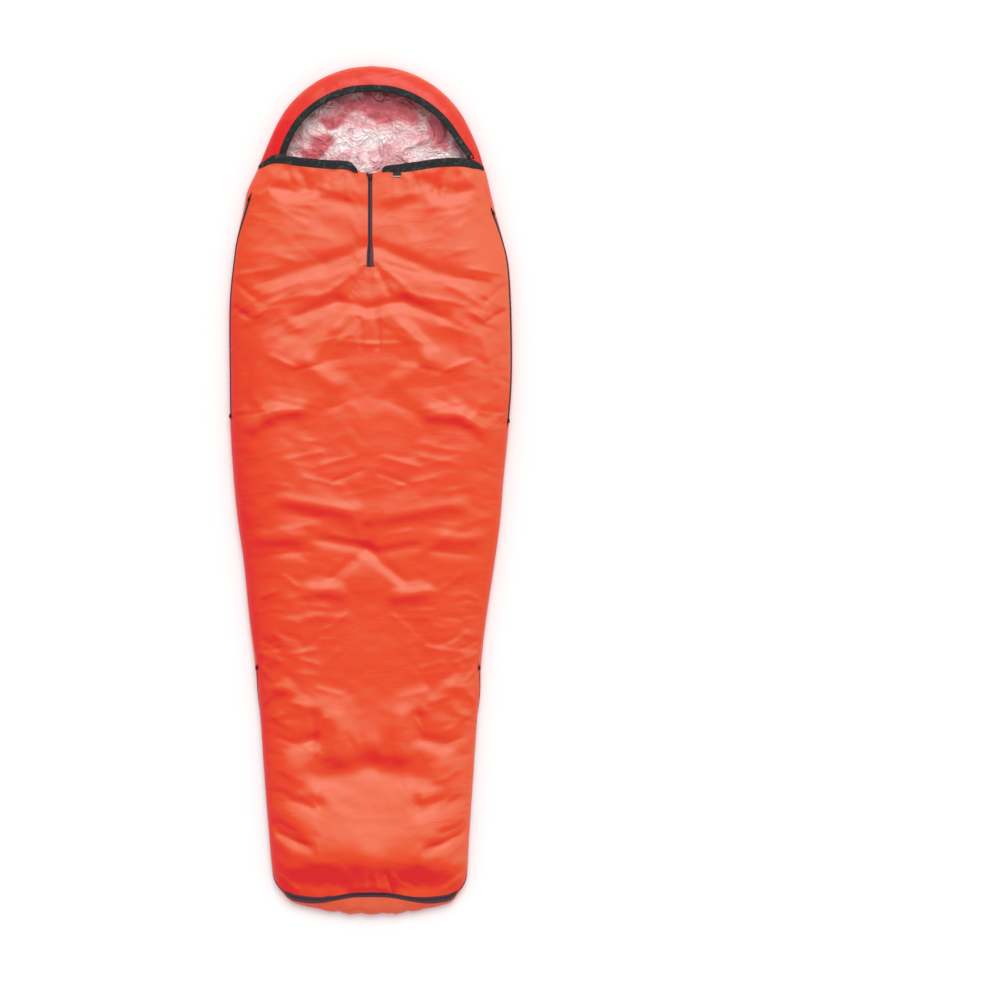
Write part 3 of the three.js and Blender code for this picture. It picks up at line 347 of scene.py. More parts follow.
class Table:
    """Rows with named columns, read on a smooth line between them"""

    def __init__(self, rows, key):
        self.rows = sorted(rows, key=lambda row: getattr(row, key))
        self.keys = [getattr(row, key) for row in self.rows]
        self.slopes = {}

    def slope(self, value, index):
        """How steeply the line passes a row"""
        if (value, index) not in self.slopes:
            before = max(0, index - 1)
            after = min(len(self.rows) - 1, index + 1)
            rise = getattr(self.rows[after], value) - getattr(self.rows[before], value)
            self.slopes[value, index] = rise / (self.keys[after] - self.keys[before])
        return self.slopes[value, index]

    def read(self, value, place):
        index = bisect_left(self.keys, place)
        if index == 0:
            return getattr(self.rows[0], value)
        if index == len(self.keys):
            return getattr(self.rows[-1], value)
        gap = self.keys[index] - self.keys[index - 1]
        share = (place - self.keys[index - 1]) / gap
        first = getattr(self.rows[index - 1], value)
        second = getattr(self.rows[index], value)
        start = self.slope(value, index - 1) * gap
        stop = self.slope(value, index) * gap
        cubic = start + stop - 2 * (second - first)
        square = 3 * (second - first) - 2 * start - stop
        return first + share * (start + share * (square + share * cubic))


def smooth_line(points, count):
    """An even number of steps along a smooth curve through the points"""
    ends = [2 * points[0] - points[1], *points, 2 * points[-1] - points[-2]]
    dense = []
    for a, b, c, d in zip(ends, ends[1:], ends[2:], ends[3:]):
        first, middle, last = ((q - p).length ** 0.5 for p, q in ((a, b), (b, c), (c, d)))
        start = ((b - a) / first - (c - a) / (first + middle) + (c - b) / middle) * middle
        stop = ((c - b) / middle - (d - b) / (middle + last) + (d - c) / last) * middle
        for step in range(24):
            t = step / 24
            bend = t * (3 * (c - b) - 2 * start - stop) + t * t * (2 * (b - c) + start + stop)
            dense.append(b + t * (start + bend))
    dense.append(points[-1].copy())
    lengths = [0]
    for a, b in zip(dense, dense[1:]):
        lengths.append(lengths[-1] + (b - a).length)
    line = []
    for step in range(count + 1):
        walked = lengths[-1] * step / count
        index = min(len(dense) - 1, max(1, bisect_left(lengths, walked)))
        share = (walked - lengths[index - 1]) / (lengths[index] - lengths[index - 1])
        line.append(dense[index - 1].lerp(dense[index], min(1, share)))
    return line


# Edge of the bag
EdgePoint = namedtuple("EdgePoint", "across along seam inward")


def edge_line(side):
    """One side's edge from the top of the head to the middle of the foot"""
    sign = -1 if side == "left" else 1
    points = []
    for degrees in HEAD_ARC_DEGREES:
        angle = math.radians(degrees)
        across = HEAD_CENTRE[0] + sign * HEAD_RADIUS * math.cos(angle)
        points.append(Vector((across, HEAD_CENTRE[1] + HEAD_RADIUS * math.sin(angle), 0)))
    points += [Vector((getattr(row, side), row.along, row.seam)) for row in EDGE_ROWS]
    points.append(Vector(FOOT_EDGE))
    line = smooth_line(points, 520)
    edge = []
    for index, point in enumerate(line):
        run = line[min(520, index + 1)] - line[max(0, index - 1)]
        if index in (0, 520):
            run.y = 0
        inward = Vector((sign * run.y, -sign * run.x)).normalized()
        edge.append(EdgePoint(point.x, point.y, point.z, inward))
    return edge


EDGES = {side: edge_line(side) for side in SIDES}
EDGE_KEYS = {side: [-point.along for point in EDGES[side]] for side in SIDES}
EDGE_TREE = KDTree(2 * 521)
for number, side_name in enumerate(SIDES):
    for place_number, edge_place in enumerate(EDGES[side_name]):
        EDGE_TREE.insert((edge_place.across, edge_place.along, 0), number * 521 + place_number)
EDGE_TREE.balance()
CROWN = Table(CROWN_ROWS, "along")
RIM = Table(RIM_ROWS, "along")
NECK = Table(NECK_ROWS, "across")


def edge_at(side, share):
    """A point of one side's edge at a share of the way from head to foot"""
    place = min(1, max(0, share)) * 520
    index = min(519, int(place))
    here, after = EDGES[side][index], EDGES[side][index + 1]
    part = place - index
    numbers = [lerp(a, b, part) for a, b in zip(here[:3], after[:3])]
    return EdgePoint(*numbers, here.inward.lerp(after.inward, part).normalized())


def edge_share(side, along):
    """The share of the way along the edge at which it passes a place along the bag"""
    keys = EDGE_KEYS[side]
    index = bisect_left(keys, -along)
    if index == 0:
        return 0
    if index == len(keys):
        return 1
    part = (-along - keys[index - 1]) / (keys[index] - keys[index - 1])
    return (index - 1 + part) / 520


def edge_distance(across, along):
    """How far a place is from the edge, seen from above"""
    here = Vector((across, along, 0))
    _, number, _ = EDGE_TREE.find(here)
    edge = EDGES[SIDES[number // 521]]
    index = number % 521
    nearest = math.inf
    for first in (max(0, index - 1), min(519, index)):
        a, b = (Vector((edge[k].across, edge[k].along, 0)) for k in (first, first + 1))
        point, share = intersect_point_line(here, a, b)
        if share <= 0:
            point = a
        elif share >= 1:
            point = b
        nearest = min(nearest, (point - here).length)
    return nearest


# Profile of the edge
def profile_reach(along):
    return lerp(BODY_REACH, HOOD_REACH, smoothstep(along, *REACH_CHANGE))


def profile_point(angle, reach, rise):
    """Inset and height at an angle: 0 is the crown, a quarter turn the widest line, a half turn the ground"""
    swing = 1 - math.sin(angle)
    if angle <= QUARTER_TURN:
        return reach * swing, WIDEST_HEIGHT + rise * math.cos(angle)
    return CURL_REACH * swing, WIDEST_HEIGHT + (WIDEST_HEIGHT - GROUND_LEVEL) * math.cos(angle)


def profile_angle(distance, along):
    """The angle reached by walking up the profile from the widest line, or down it"""
    reach = profile_reach(along)
    rise = CROWN.read("height", along) - WIDEST_HEIGHT
    step = 0.01 if distance >= 0 else -0.01
    angle = QUARTER_TURN
    left = abs(distance)
    here = profile_point(angle, reach, rise)
    while 0 < angle < math.pi:
        after = profile_point(angle - step, reach, rise)
        length = math.hypot(after[0] - here[0], after[1] - here[1])
        if length >= left:
            return angle - step * left / length
        left -= length
        angle -= step
        here = after
    return min(math.pi, max(0, angle))


def edge_point(side, share, angle, depth=0):
    """A point of the edge profile in space, that deep inside the cloth, and its normal"""
    edge = edge_at(side, share)
    reach = profile_reach(edge.along)
    rise = CROWN.read("height", edge.along) - WIDEST_HEIGHT
    inset, height = profile_point(angle, reach, rise)
    upper = angle <= QUARTER_TURN
    wide = reach if upper else CURL_REACH
    tall = rise if upper else WIDEST_HEIGHT - GROUND_LEVEL
    outward = Vector((math.sin(angle) / wide, math.cos(angle) / tall)).normalized()
    inside = inset + depth * outward.x
    across = edge.across + edge.inward.x * inside
    along = edge.along + edge.inward.y * inside
    normal = Vector((-edge.inward.x * outward.x, -edge.inward.y * outward.x, outward.y))
    return Vector((across, along, height - depth * outward.y)), normal


# Folds
class FoldField:
    """Folds sorted into squares, so that a place reads only those near it. Crisp folds have sharp crests."""

    def __init__(self, folds, crisp=False):
        self.crisp = crisp
        self.squares = defaultdict(list)
        for fold in folds:
            self.insert(fold)
            if fold.shift:
                start, end = (
                    (-place[0] + fold.shift[0], place[1] + fold.shift[1]) for place in (fold.start, fold.end)
                )
                rise = fold.rise * fold.strength
                self.insert(Fold(start, end, fold.width, rise, lean=-fold.lean))

    def insert(self, fold):
        margin = 2.6 * fold.width * (1 + abs(fold.lean))
        spans = []
        for a, b in zip(fold.start, fold.end):
            spans.append(range(math.floor((min(a, b) - margin) / 0.05), math.ceil((max(a, b) + margin) / 0.05)))
        for column in spans[0]:
            for row in spans[1]:
                self.squares[column, row].append(fold)

    def rise(self, across, along):
        total = 0
        for fold in self.squares.get((math.floor(across / 0.05), math.floor(along / 0.05)), ()):
            run_x = fold.end[0] - fold.start[0]
            run_y = fold.end[1] - fold.start[1]
            length = math.hypot(run_x, run_y)
            out_x = across - fold.start[0]
            out_y = along - fold.start[1]
            ahead = (out_x * run_x + out_y * run_y) / length
            aside = (out_x * run_y - out_y * run_x) / length
            width = fold.width * (1 + fold.lean if aside > 0 else 1 - fold.lean)
            past = max(0, -ahead, ahead - length)
            off = (aside / width) ** 2 + (past / fold.width) ** 2
            total += fold.rise * math.exp(-1.7 * (math.sqrt(off + 0.03) - 0.17) if self.crisp else -off)
        return total


MAIN_FIELD = FoldField(MAIN_FOLDS)
FINE_FIELD = FoldField((*FINE_FOLDS, *scatter_folds()), crisp=True)


def top_height(across, along):
    """Height of the upper cloth with its main folds"""
    distance = edge_distance(across, along)
    share = min(1, distance / profile_reach(along))
    rise = CROWN.read("height", along) - WIDEST_HEIGHT
    past_neck = NECK.read("along", across) - along
    fade = smoothstep(distance, *FOLDS_PAST_SEAM) * smoothstep(past_neck, *FOLDS_PAST_NECK)
    dome = rise * math.sqrt(1 - (1 - share) ** 2)
    return WIDEST_HEIGHT + dome + fade * MAIN_FIELD.rise(across, along)


def fine_height(across, along):
    """What the fine folds and the cloth's small waves add to it"""
    distance = edge_distance(across, along)
    past_neck = NECK.read("along", across) - along
    fade = smoothstep(distance, *FINE_PAST_SEAM) * smoothstep(past_neck, *FINE_PAST_NECK)
    place = Vector((across * 9, along * 14, 3.7))
    waves = 0.0009 * noise.noise(place) + 0.0005 * noise.noise(place * 2.7)
    return fade * (FINE_FIELD.rise(across, along) + waves)


# Seams and the front panel's border
def seam_half_gap(side, along):
    """Half of the gap between the two panels, wide where a zip lies in it"""
    top, bottom = SIDE_ZIP_TOP[side], SIDE_ZIP_BOTTOM[side]
    at_side = smoothstep(along, bottom - ZIP_EDGE_FADE, bottom) * (1 - smoothstep(along, top, top + ZIP_EDGE_FADE))
    below_slider = 1 - smoothstep(along, FOOT_ZIP_TOP, FOOT_ZIP_TOP + ZIP_EDGE_FADE)
    at_foot = 1 - smoothstep(along, *FOOT_ZIP_OPENS)
    wide = lerp(0.0098, 0.0056, smoothstep(-along, 1.028, 1.048))
    return 0.0002 + 0.0040 * at_side + 0.0008 * below_slider + wide * at_foot


def seam_point(side, share, aside):
    """A point beside the seam and its normal: aside is measured over the cloth, up from the seam"""
    edge = edge_at(side, share)
    return edge_point(side, share, profile_angle(edge.seam + aside, edge.along))


class Border:
    """The front panel's border on one side, from the head to the foot"""

    def __init__(self, side):
        self.points = []
        self.angles = []
        for step in range(721):
            edge = edge_at(side, step / 720)
            angle = profile_angle(edge.seam + seam_half_gap(side, edge.along), edge.along)
            self.points.append(edge_point(side, step / 720, angle)[0])
            self.angles.append(angle)
        self.sign = -1 if side == "left" else 1
        self.foot_start = next(i for i, point in enumerate(self.points) if point.y < FOOT_CORNER)
        self.side_keys = [-point.y for point in self.points]
        self.foot_keys = [-self.sign * point.x for point in self.points[self.foot_start:]]

    def between(self, index, share):
        point = self.points[index - 1].lerp(self.points[index], share)
        return point, lerp(self.angles[index - 1], self.angles[index], share)

    def by_along(self, along):
        index = min(len(self.points) - 1, max(1, bisect_left(self.side_keys, -along)))
        gap = self.side_keys[index] - self.side_keys[index - 1]
        return self.between(index, min(1, max(0, (-along - self.side_keys[index - 1]) / gap)))

    def by_across(self, across):
        place = -self.sign * across
        index = min(len(self.foot_keys) - 1, max(1, bisect_left(self.foot_keys, place)))
        gap = self.foot_keys[index] - self.foot_keys[index - 1]
        share = min(1, max(0, (place - self.foot_keys[index - 1]) / gap))
        return self.between(self.foot_start + index, share)


BORDERS = {side: Border(side) for side in SIDES}
FootRow = namedtuple("FootRow", "across along")
FOOT_LINE = Table(
    {
        round(point.x, 6): FootRow(round(point.x, 6), point.y)
        for border in BORDERS.values()
        for point in border.points[border.foot_start:]
    }.values(),
    "across",
)

# Painted sheen of the upper cloth along the bag: how much lighter its colour is made over the crown and beside the
# seams
SheenRow = namedtuple("SheenRow", "along middle side")
PAINTED_SHEEN = Table(
    (
        SheenRow(0.79, 0.010, 0.012),
        SheenRow(0.62, 0.026, 0.022),
        SheenRow(0.43, 0.014, 0.006),
        SheenRow(0.25, 0.004, -0.006),
        SheenRow(0.06, -0.006, -0.012),
        SheenRow(-0.25, -0.006, -0.010),
        SheenRow(-0.52, 0.000, 0.000),
        SheenRow(-0.70, 0.004, 0.008),
        SheenRow(-0.86, 0.020, 0.010),
        SheenRow(-1.04, 0.012, 0.010),
    ),
    "along",
)


# Painted sheen of the front panel at a place, from beside the seams to the crown
def painted_panel_sheen(point):
    from_edge = smoothstep(edge_distance(point.x, point.y), 0.04, 0.22)
    return lerp(PAINTED_SHEEN.read("side", point.y), PAINTED_SHEEN.read("middle", point.y), from_edge)


# Front panel's grid: columns from the left seam over the crown to the slit of the front zip, and back down
SIDE_COLUMNS = 9
MIDDLE_COLUMN = 27
LAST_COLUMN = 2 * MIDDLE_COLUMN + 1
PANEL_ROWS = 190


def slit_half(along):
    """Half of the front zip's slit at a place along the bag"""
    wide = 1 - smoothstep(along, FRONT_ZIP_FOOT_TOP, FRONT_ZIP_FOOT_TOP + FRONT_ZIP_WIDENS_OVER)
    return lerp(0.0055, 0.0085, wide)


def panel_across(side, share, along):
    """Where a column of the front panel passes a place along the bag, and its height if under the widest line"""
    sign = -1 if side == "left" else 1
    along = max(along, FOOT_CORNER)
    border, angle = BORDERS[side].by_along(along)
    if share == 0:
        return border.x, None
    edge = edge_at(side, edge_share(side, along)).across
    reach = profile_reach(along)
    side_share = SIDE_COLUMNS / MIDDLE_COLUMN
    if share <= side_share:
        angle = lerp(angle, 0, share / side_share)
        rise = CROWN.read("height", along) - WIDEST_HEIGHT
        inset, height = profile_point(angle, reach, rise)
        return edge - sign * inset, height if angle > QUARTER_TURN else None
    slit = sign * slit_half(along)
    return lerp(edge - sign * reach, slit, (share - side_share) / (1 - side_share)), None


def panel_point(u, v):
    """A point of the front panel: u runs from the left to the right seam, v from the neck to the foot"""
    column = u * LAST_COLUMN
    side = "left" if column <= MIDDLE_COLUMN + 0.5 else "right"
    share = min(1, (column if side == "left" else LAST_COLUMN - column) / MIDDLE_COLUMN)
    across = lerp(-0.28, 0.28, u)
    along = 0
    height = None
    for _ in range(7):
        along = lerp(NECK.read("along", across), FOOT_LINE.read("along", across), v)
        across, height = panel_across(side, share, along)
    if v > 0.9999:
        return BORDERS[side].by_across(across)[0].copy()
    if share == 0:
        return BORDERS[side].by_along(along)[0].copy()
    return Vector((across, along, top_height(across, along) if height is None else height))


# Making and finishing pieces
def deselect():
    bpy.ops.object.select_all(action="DESELECT")


def apply_modifier(piece, kind, **settings):
    modifier = piece.modifiers.new(kind.lower(), kind)
    for name, value in settings.items():
        setattr(modifier, name, value)
    bpy.ops.object.modifier_apply(modifier=modifier.name)


def cloth_grid(name, columns, rows, place, size, left_out=None):
    """A grid of cloth whose corners are moved to place(u, v), with its weave laid out in metres"""
    deselect()
    bpy.ops.mesh.primitive_grid_add(x_subdivisions=columns, y_subdivisions=rows, size=1)
    piece = bpy.context.object
    piece.name = name
    piece.data.name = name
    for corner in piece.data.uv_layers.active.data:
        corner.uv = (corner.uv.x * size[0], corner.uv.y * size[1])
    if left_out:
        build = bmesh.new()
        build.from_mesh(piece.data)
        faces = []
        for face in build.faces:
            middle = face.calc_center_median()
            if left_out(middle.x + 0.5, middle.y + 0.5):
                faces.append(face)
        bmesh.ops.delete(build, geom=faces, context="FACES")
        build.to_mesh(piece.data)
        build.free()
    for vertex in piece.data.vertices:
        vertex.co = place(vertex.co.x + 0.5, vertex.co.y + 0.5)
    return piece


def merge_corners(piece, distance=0.00001):
    """Closes the seams and poles of a grid"""
    build = bmesh.new()
    build.from_mesh(piece.data)
    bmesh.ops.remove_doubles(build, verts=build.verts, dist=distance)
    bmesh.ops.dissolve_degenerate(build, edges=build.edges, dist=distance)
    build.to_mesh(piece.data)
    build.free()


def mark_painted_shading(piece, weight=1, painted_sheen=None):
    """Stores how far each place turns from the light, less its painted sheen: the cloth paints shade and highlight
    into its colour from it
    """
    away = piece.data.attributes.new("away", "FLOAT", "POINT")
    for vertex in piece.data.vertices:
        normal = vertex.normal
        turn = weight * (0.12 * (1 - normal.z) - 0.36 * normal.y - 0.10 * normal.x)
        away.data[vertex.index].value = turn - (painted_sheen(vertex.co) if painted_sheen else 0)


def thicken(piece, thickness, inner=False):
    """Gives a sheet its thickness. With inner, its inside takes the second material."""
    apply_modifier(piece, "SOLIDIFY", thickness=thickness, offset=0, material_offset=int(inner))


def finish_piece(piece, materials, nodes, smooth_degrees=50):
    """Hands a piece to the frame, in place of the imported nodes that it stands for"""
    for material in materials:
        piece.data.materials.append(bpy.data.materials[material])
    deselect()
    piece.select_set(True)
    bpy.context.view_layer.objects.active = piece
    bpy.ops.object.transform_apply(location=True, rotation=True, scale=True)
    bpy.ops.object.shade_smooth_by_angle(angle=math.radians(smooth_degrees))
    deselect()
    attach(piece, "root")
    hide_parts(*nodes)
    return piece


# Shaders
class Value:
    """A socket whose sums, products and powers add Math nodes"""

    def __init__(self, shader, socket):
        self.shader = shader
        self.socket = socket

    def __add__(self, other):
        return self.shader.math("ADD", self, other)

    def __sub__(self, other):
        return self.shader.math("SUBTRACT", self, other)

    def __mul__(self, other):
        return self.shader.math("MULTIPLY", self, other)

    def __pow__(self, other):
        return self.shader.math("POWER", self, other)

    def __rsub__(self, other):
        return self.shader.math("SUBTRACT", other, self)

    __radd__ = __add__
    __rmul__ = __mul__


class Shader:
    """A material's nodes, made one at a time"""

    def __init__(self, name):
        self.material = bpy.data.materials.new(name)
        self.material.use_nodes = True
        self.nodes = self.material.node_tree.nodes
        self.nodes.clear()

    def node(self, kind, settings=None, output=0, stops=None, **inputs):
        """Adds a node: its settings first, then the values or links of its sockets"""
        node = self.nodes.new(kind)
        for name, value in (settings or {}).items():
            setattr(node, name, value)
        if stops:
            ramp = node.color_ramp.elements
            while len(ramp) < len(stops):
                ramp.new(0.5)
            for element, (place, colour) in zip(ramp, stops):
                element.position = place
                element.color = (*colour, 1)
        for name, value in inputs.items():
            socket = node.inputs[int(name[1:]) if name[0] == "_" else name.replace("_", " ")]
            if isinstance(value, Value):
                self.material.node_tree.links.new(value.socket, socket)
            elif hasattr(value, "__len__") and len(value) == 3 and socket.type == "RGBA":
                socket.default_value = (*value, 1)
            else:
                socket.default_value = value
        return None if output is None else Value(self, node.outputs[output])

    def math(self, operation, first, second):
        return self.node("ShaderNodeMath", {"operation": operation}, _0=first, _1=second)

    def clamp(self, value, low, high, smooth=True):
        """0 below low, 1 above high, and a slope between them"""
        kind = "SMOOTHSTEP" if smooth else "LINEAR"
        settings = {"interpolation_type": kind, "clamp": True}
        return self.node("ShaderNodeMapRange", settings, Value=value, From_Min=low, From_Max=high)

    def mix(self, factor, first, second, blend="MIX"):
        settings = {"data_type": "RGBA", "blend_type": blend}
        return self.node("ShaderNodeMix", settings, output=2, _0=factor, _6=first, _7=second)

    def place(self):
        return self.node("ShaderNodeTexCoord", output="Object")

    def weave(self):
        return self.node("ShaderNodeUVMap")

    def attribute(self, name):
        return self.node("ShaderNodeAttribute", {"attribute_name": name}, output="Fac")

    def scaled(self, vector, scale, shift=(0, 0, 0)):
        return self.node("ShaderNodeMapping", Vector=vector, Scale=scale, Location=shift)

    def noise(self, vector, scale, detail=3, roughness=0.5, distortion=0):
        return self.node(
            "ShaderNodeTexNoise", Vector=vector, Scale=scale, Detail=detail, Roughness=roughness,
            Distortion=distortion,
        )

    def waves(self, vector, direction, scale):
        settings = {"bands_direction": direction}
        return self.node("ShaderNodeTexWave", settings, output="Fac", Vector=vector, Scale=scale)

    def bump(self, height, distance, normal=None, strength=1):
        links = {"Normal": normal} if normal else {}
        return self.node("ShaderNodeBump", Height=height, Distance=distance, Strength=strength, **links)

    def surface(self, **inputs):
        """The finished surface, on the material's output"""
        finish = self.node("ShaderNodeBsdfPrincipled", output="BSDF", **inputs)
        self.node("ShaderNodeOutputMaterial", output=None, Surface=finish)


def make_cloth(name, main, warm, colours):
    """Coated taffeta: satin, a little streaked along the weave, with painted shade where it turns from the light and
    painted highlight where it faces it
    """
    shader = Shader(name)
    place = shader.place()
    weave = shader.weave()
    cloud = shader.noise(place, 4.0, detail=4)
    streaks = shader.noise(shader.scaled(weave, (4.0, 170.0, 1.0)), 1.0, detail=4, roughness=0.65)
    settings = {"noise_type": "RIDGED_MULTIFRACTAL"}
    creases = []
    for ahead in (0, 0.003):
        moved = shader.scaled(place, (6.5, 13.0, 6.5), (0, 13 * ahead, 0))
        creases.append(
            shader.node(
                "ShaderNodeTexNoise", settings, Vector=moved, Scale=1.0, Detail=4.0, Roughness=0.45,
                Lacunarity=2.1, Offset=0.9, Gain=1.6, Distortion=0.5,
            )
        )
    # Painted light and shade on the small creases: their slope towards the light, from two samples a little apart
    painted_crease_shading = creases[1] - creases[0]
    turn = shader.attribute("away") + (cloud - 0.5) * 0.03 - painted_crease_shading * 0.10
    # Painted highlight colour where the cloth faces the light, painted shade colour where it turns from it
    light = 1 - shader.clamp(turn, colours.painted_highlight_from, colours.painted_highlight_to)
    deep = shader.clamp(turn, colours.painted_shade_from, colours.painted_shade_to)
    tone = shader.mix(shader.clamp(streaks + (cloud - 0.5), 0.35, 0.8) * 0.35, tuple(main), tuple(warm))
    tone = shader.mix(light, tone, tuple(colours.light))
    tone = shader.mix(deep, tone, tuple(colours.deep))
    threads = shader.waves(weave, "X", 60.0) * 0.5 + shader.waves(weave, "Y", 60.0) * 0.5
    normal = shader.bump(threads, 0.00006, strength=0.4)
    normal = shader.bump(streaks, 0.0005, normal, strength=0.3)
    normal = shader.bump(creases[0], 0.0022, normal, strength=0.6)
    shader.surface(
        Base_Color=tone, Roughness=0.38 + (streaks - 0.5) * 0.12, Normal=normal, Coat_Weight=colours.gloss,
        Coat_Roughness=0.3, Specular_IOR_Level=0.3,
    )


def make_foil():
    """Thin metal coat, crumpled, tinted pink and in its smoother parts deep red: painted reflections of the red
    cloth around it
    """
    shader = Shader("crumpled_foil")
    place = shader.place()
    patches = shader.noise(place, 11.0, detail=4, roughness=0.6, distortion=1.2)
    fine = shader.noise(place, 95.0, detail=6, roughness=0.68, distortion=1.4)
    settings = {"noise_type": "RIDGED_MULTIFRACTAL"}
    creases = shader.node(
        "ShaderNodeTexNoise", settings, Vector=place, Scale=17.0, Detail=5.0, Roughness=0.5, Lacunarity=2.2,
        Offset=0.9, Gain=1.8, Distortion=0.8,
    )
    # Painted reflections: pink silver tones, and deep red, less metallic patches where the red cloth would mirror
    red = shader.clamp(shader.attribute("mirrored") + (patches - 0.5) * 1.1, 0.26, 0.82)
    tone = shader.mix(shader.clamp(patches, 0.35, 0.62), (0.70, 0.34, 0.36), (0.88, 0.72, 0.72))
    tone = shader.mix(red, tone, (0.54, 0.11, 0.13))
    normal = shader.bump(fine * (1 - red * 0.40), 0.0045, strength=0.6)
    normal = shader.bump(creases, 0.0045, normal, strength=0.5)
    shader.surface(Base_Color=tone, Metallic=0.88 - red * 0.3, Roughness=0.20 + fine * 0.22, Normal=normal)


def make_tape(name, colour, painted_sheen_colour, stitch_colour, half_width, stitch_at):
    """Woven tape with a ribbed face, a row of stitches beside each edge, and paler patches of painted sheen"""
    shader = Shader(name)
    weave = shader.weave()
    place = shader.place()
    cloud = shader.noise(place, 55.0, detail=4, roughness=0.6, distortion=1.0)
    # Paler patches: painted sheen on the tape's wrinkles
    pale_mask = shader.clamp(cloud, 0.50, 0.78)
    ribs = shader.waves(weave, "Y", 64.0)
    cross = shader.waves(weave, "X", 64.0)
    split = shader.node("ShaderNodeSeparateXYZ", Vector=weave)
    ahead = shader.node("ShaderNodeSeparateXYZ", output="Y", Vector=weave)
    aside = shader.math("ABSOLUTE", split - half_width, 0)
    beside = 1 - shader.clamp(shader.math("ABSOLUTE", aside - stitch_at, 0), 0.0003, 0.0007)
    dash = shader.clamp(shader.math("SINE", ahead * (2 * math.pi / 0.0032), 0), -0.3, 0.2)
    stitch = beside * dash
    tone = shader.mix(pale_mask, colour, painted_sheen_colour)
    tone = shader.mix(stitch * 0.7, tone, stitch_colour)
    normal = shader.bump(ribs * 0.6 + cross * 0.4, 0.00012, strength=0.6)
    normal = shader.bump(stitch, 0.0005, normal, strength=0.8)
    normal = shader.bump(cloud, 0.004, normal, strength=0.6)
    shader.surface(Base_Color=tone, Roughness=0.6 + (cloud - 0.5) * 0.3, Normal=normal, Specular_IOR_Level=0.3)


def make_zip(name, colour, coil_colour, half_width, coil_half):
    """Zip tape with its covered coil along the middle"""
    shader = Shader(name)
    weave = shader.weave()
    split = shader.node("ShaderNodeSeparateXYZ", Vector=weave)
    ahead = shader.node("ShaderNodeSeparateXYZ", output="Y", Vector=weave)
    aside = shader.math("ABSOLUTE", split - half_width, 0)
    coil = 1 - shader.clamp(aside, coil_half * 0.8, coil_half)
    side = shader.clamp(split - half_width, -0.0002, 0.0002)
    teeth = shader.math("SINE", (ahead + side * 0.0011) * (2 * math.pi / 0.0022), 0)
    ribs = shader.waves(weave, "Y", 560.0)
    cloud = shader.noise(shader.place(), 60.0)
    tone = shader.mix(coil * 0.7, shader.mix(cloud, colour, tuple(1.35 * part for part in colour)), coil_colour)
    normal = shader.bump(ribs, 0.0001, strength=0.5)
    normal = shader.bump(teeth * coil, 0.0006, normal, strength=0.8)
    shader.surface(Base_Color=tone, Roughness=0.58 - coil * 0.14, Normal=normal)


def make_plain(name, colour, metallic, roughness, grain_scale, grain):
    """Moulded or cast small parts with a fine grain and paler worn edges"""
    shader = Shader(name)
    place = shader.place()
    cloud = shader.noise(place, grain_scale, detail=4)
    pale_mask = shader.node("ShaderNodeNewGeometry", output="Pointiness")
    tone = shader.mix(shader.clamp(pale_mask, 0.52, 0.60) * 0.6, colour, tuple(min(1, 2.2 * part) for part in colour))
    tone = shader.mix(cloud * 0.3, tone, tuple(0.6 * part for part in colour))
    normal = shader.bump(cloud, grain, strength=0.5)
    shader.surface(Base_Color=tone, Metallic=metallic, Roughness=roughness + (cloud - 0.5) * 0.2, Normal=normal)


def make_cord():
    """Twisted dark red cord"""
    shader = Shader("twisted_cord")
    weave = shader.weave()
    twist = shader.node("ShaderNodeVectorRotate", {"rotation_type": "Z_AXIS"}, Vector=weave, Angle=0.7)
    strands = shader.waves(twist, "X", 420.0)
    tone = shader.mix(strands, (0.09, 0.008, 0.012), (0.22, 0.02, 0.03))
    shader.surface(Base_Color=tone, Roughness=0.6, Normal=shader.bump(strands, 0.0004, strength=0.8))


# Settings
def length_setting(name, description, default):
    return bpy.props.FloatProperty(
        name=name, description=description, default=default, min=0, subtype="DISTANCE", unit="LENGTH", precision=4,
    )


def colour_setting(name, description, default):
    return bpy.props.FloatVectorProperty(
        name=name, description=description, default=default, size=3, min=0, max=1, subtype="COLOR",
    )


class LinerSizes(bpy.types.PropertyGroup):
    """Sizes of the cloths and tapes"""

    cloth: length_setting("Cloth", "Thickness of the coated outer cloth", 0.0008)
    foil: length_setting("Foil", "Thickness of the foil lining", 0.0004)
    crinkle: length_setting("Crinkle", "Height of the lining's crumpled creases", 0.0034)
    tape: length_setting("Tape", "Thickness of the binding tape", 0.0009)
    hood_tape: length_setting("Hood tape", "How deep the binding reaches over the hood's rim", 0.018)
    zip_tape: length_setting("Zip tape", "Thickness of the zips", 0.0010)
    gathers: length_setting("Gathers", "Height of the hood's gathers at its rim", 0.0022)


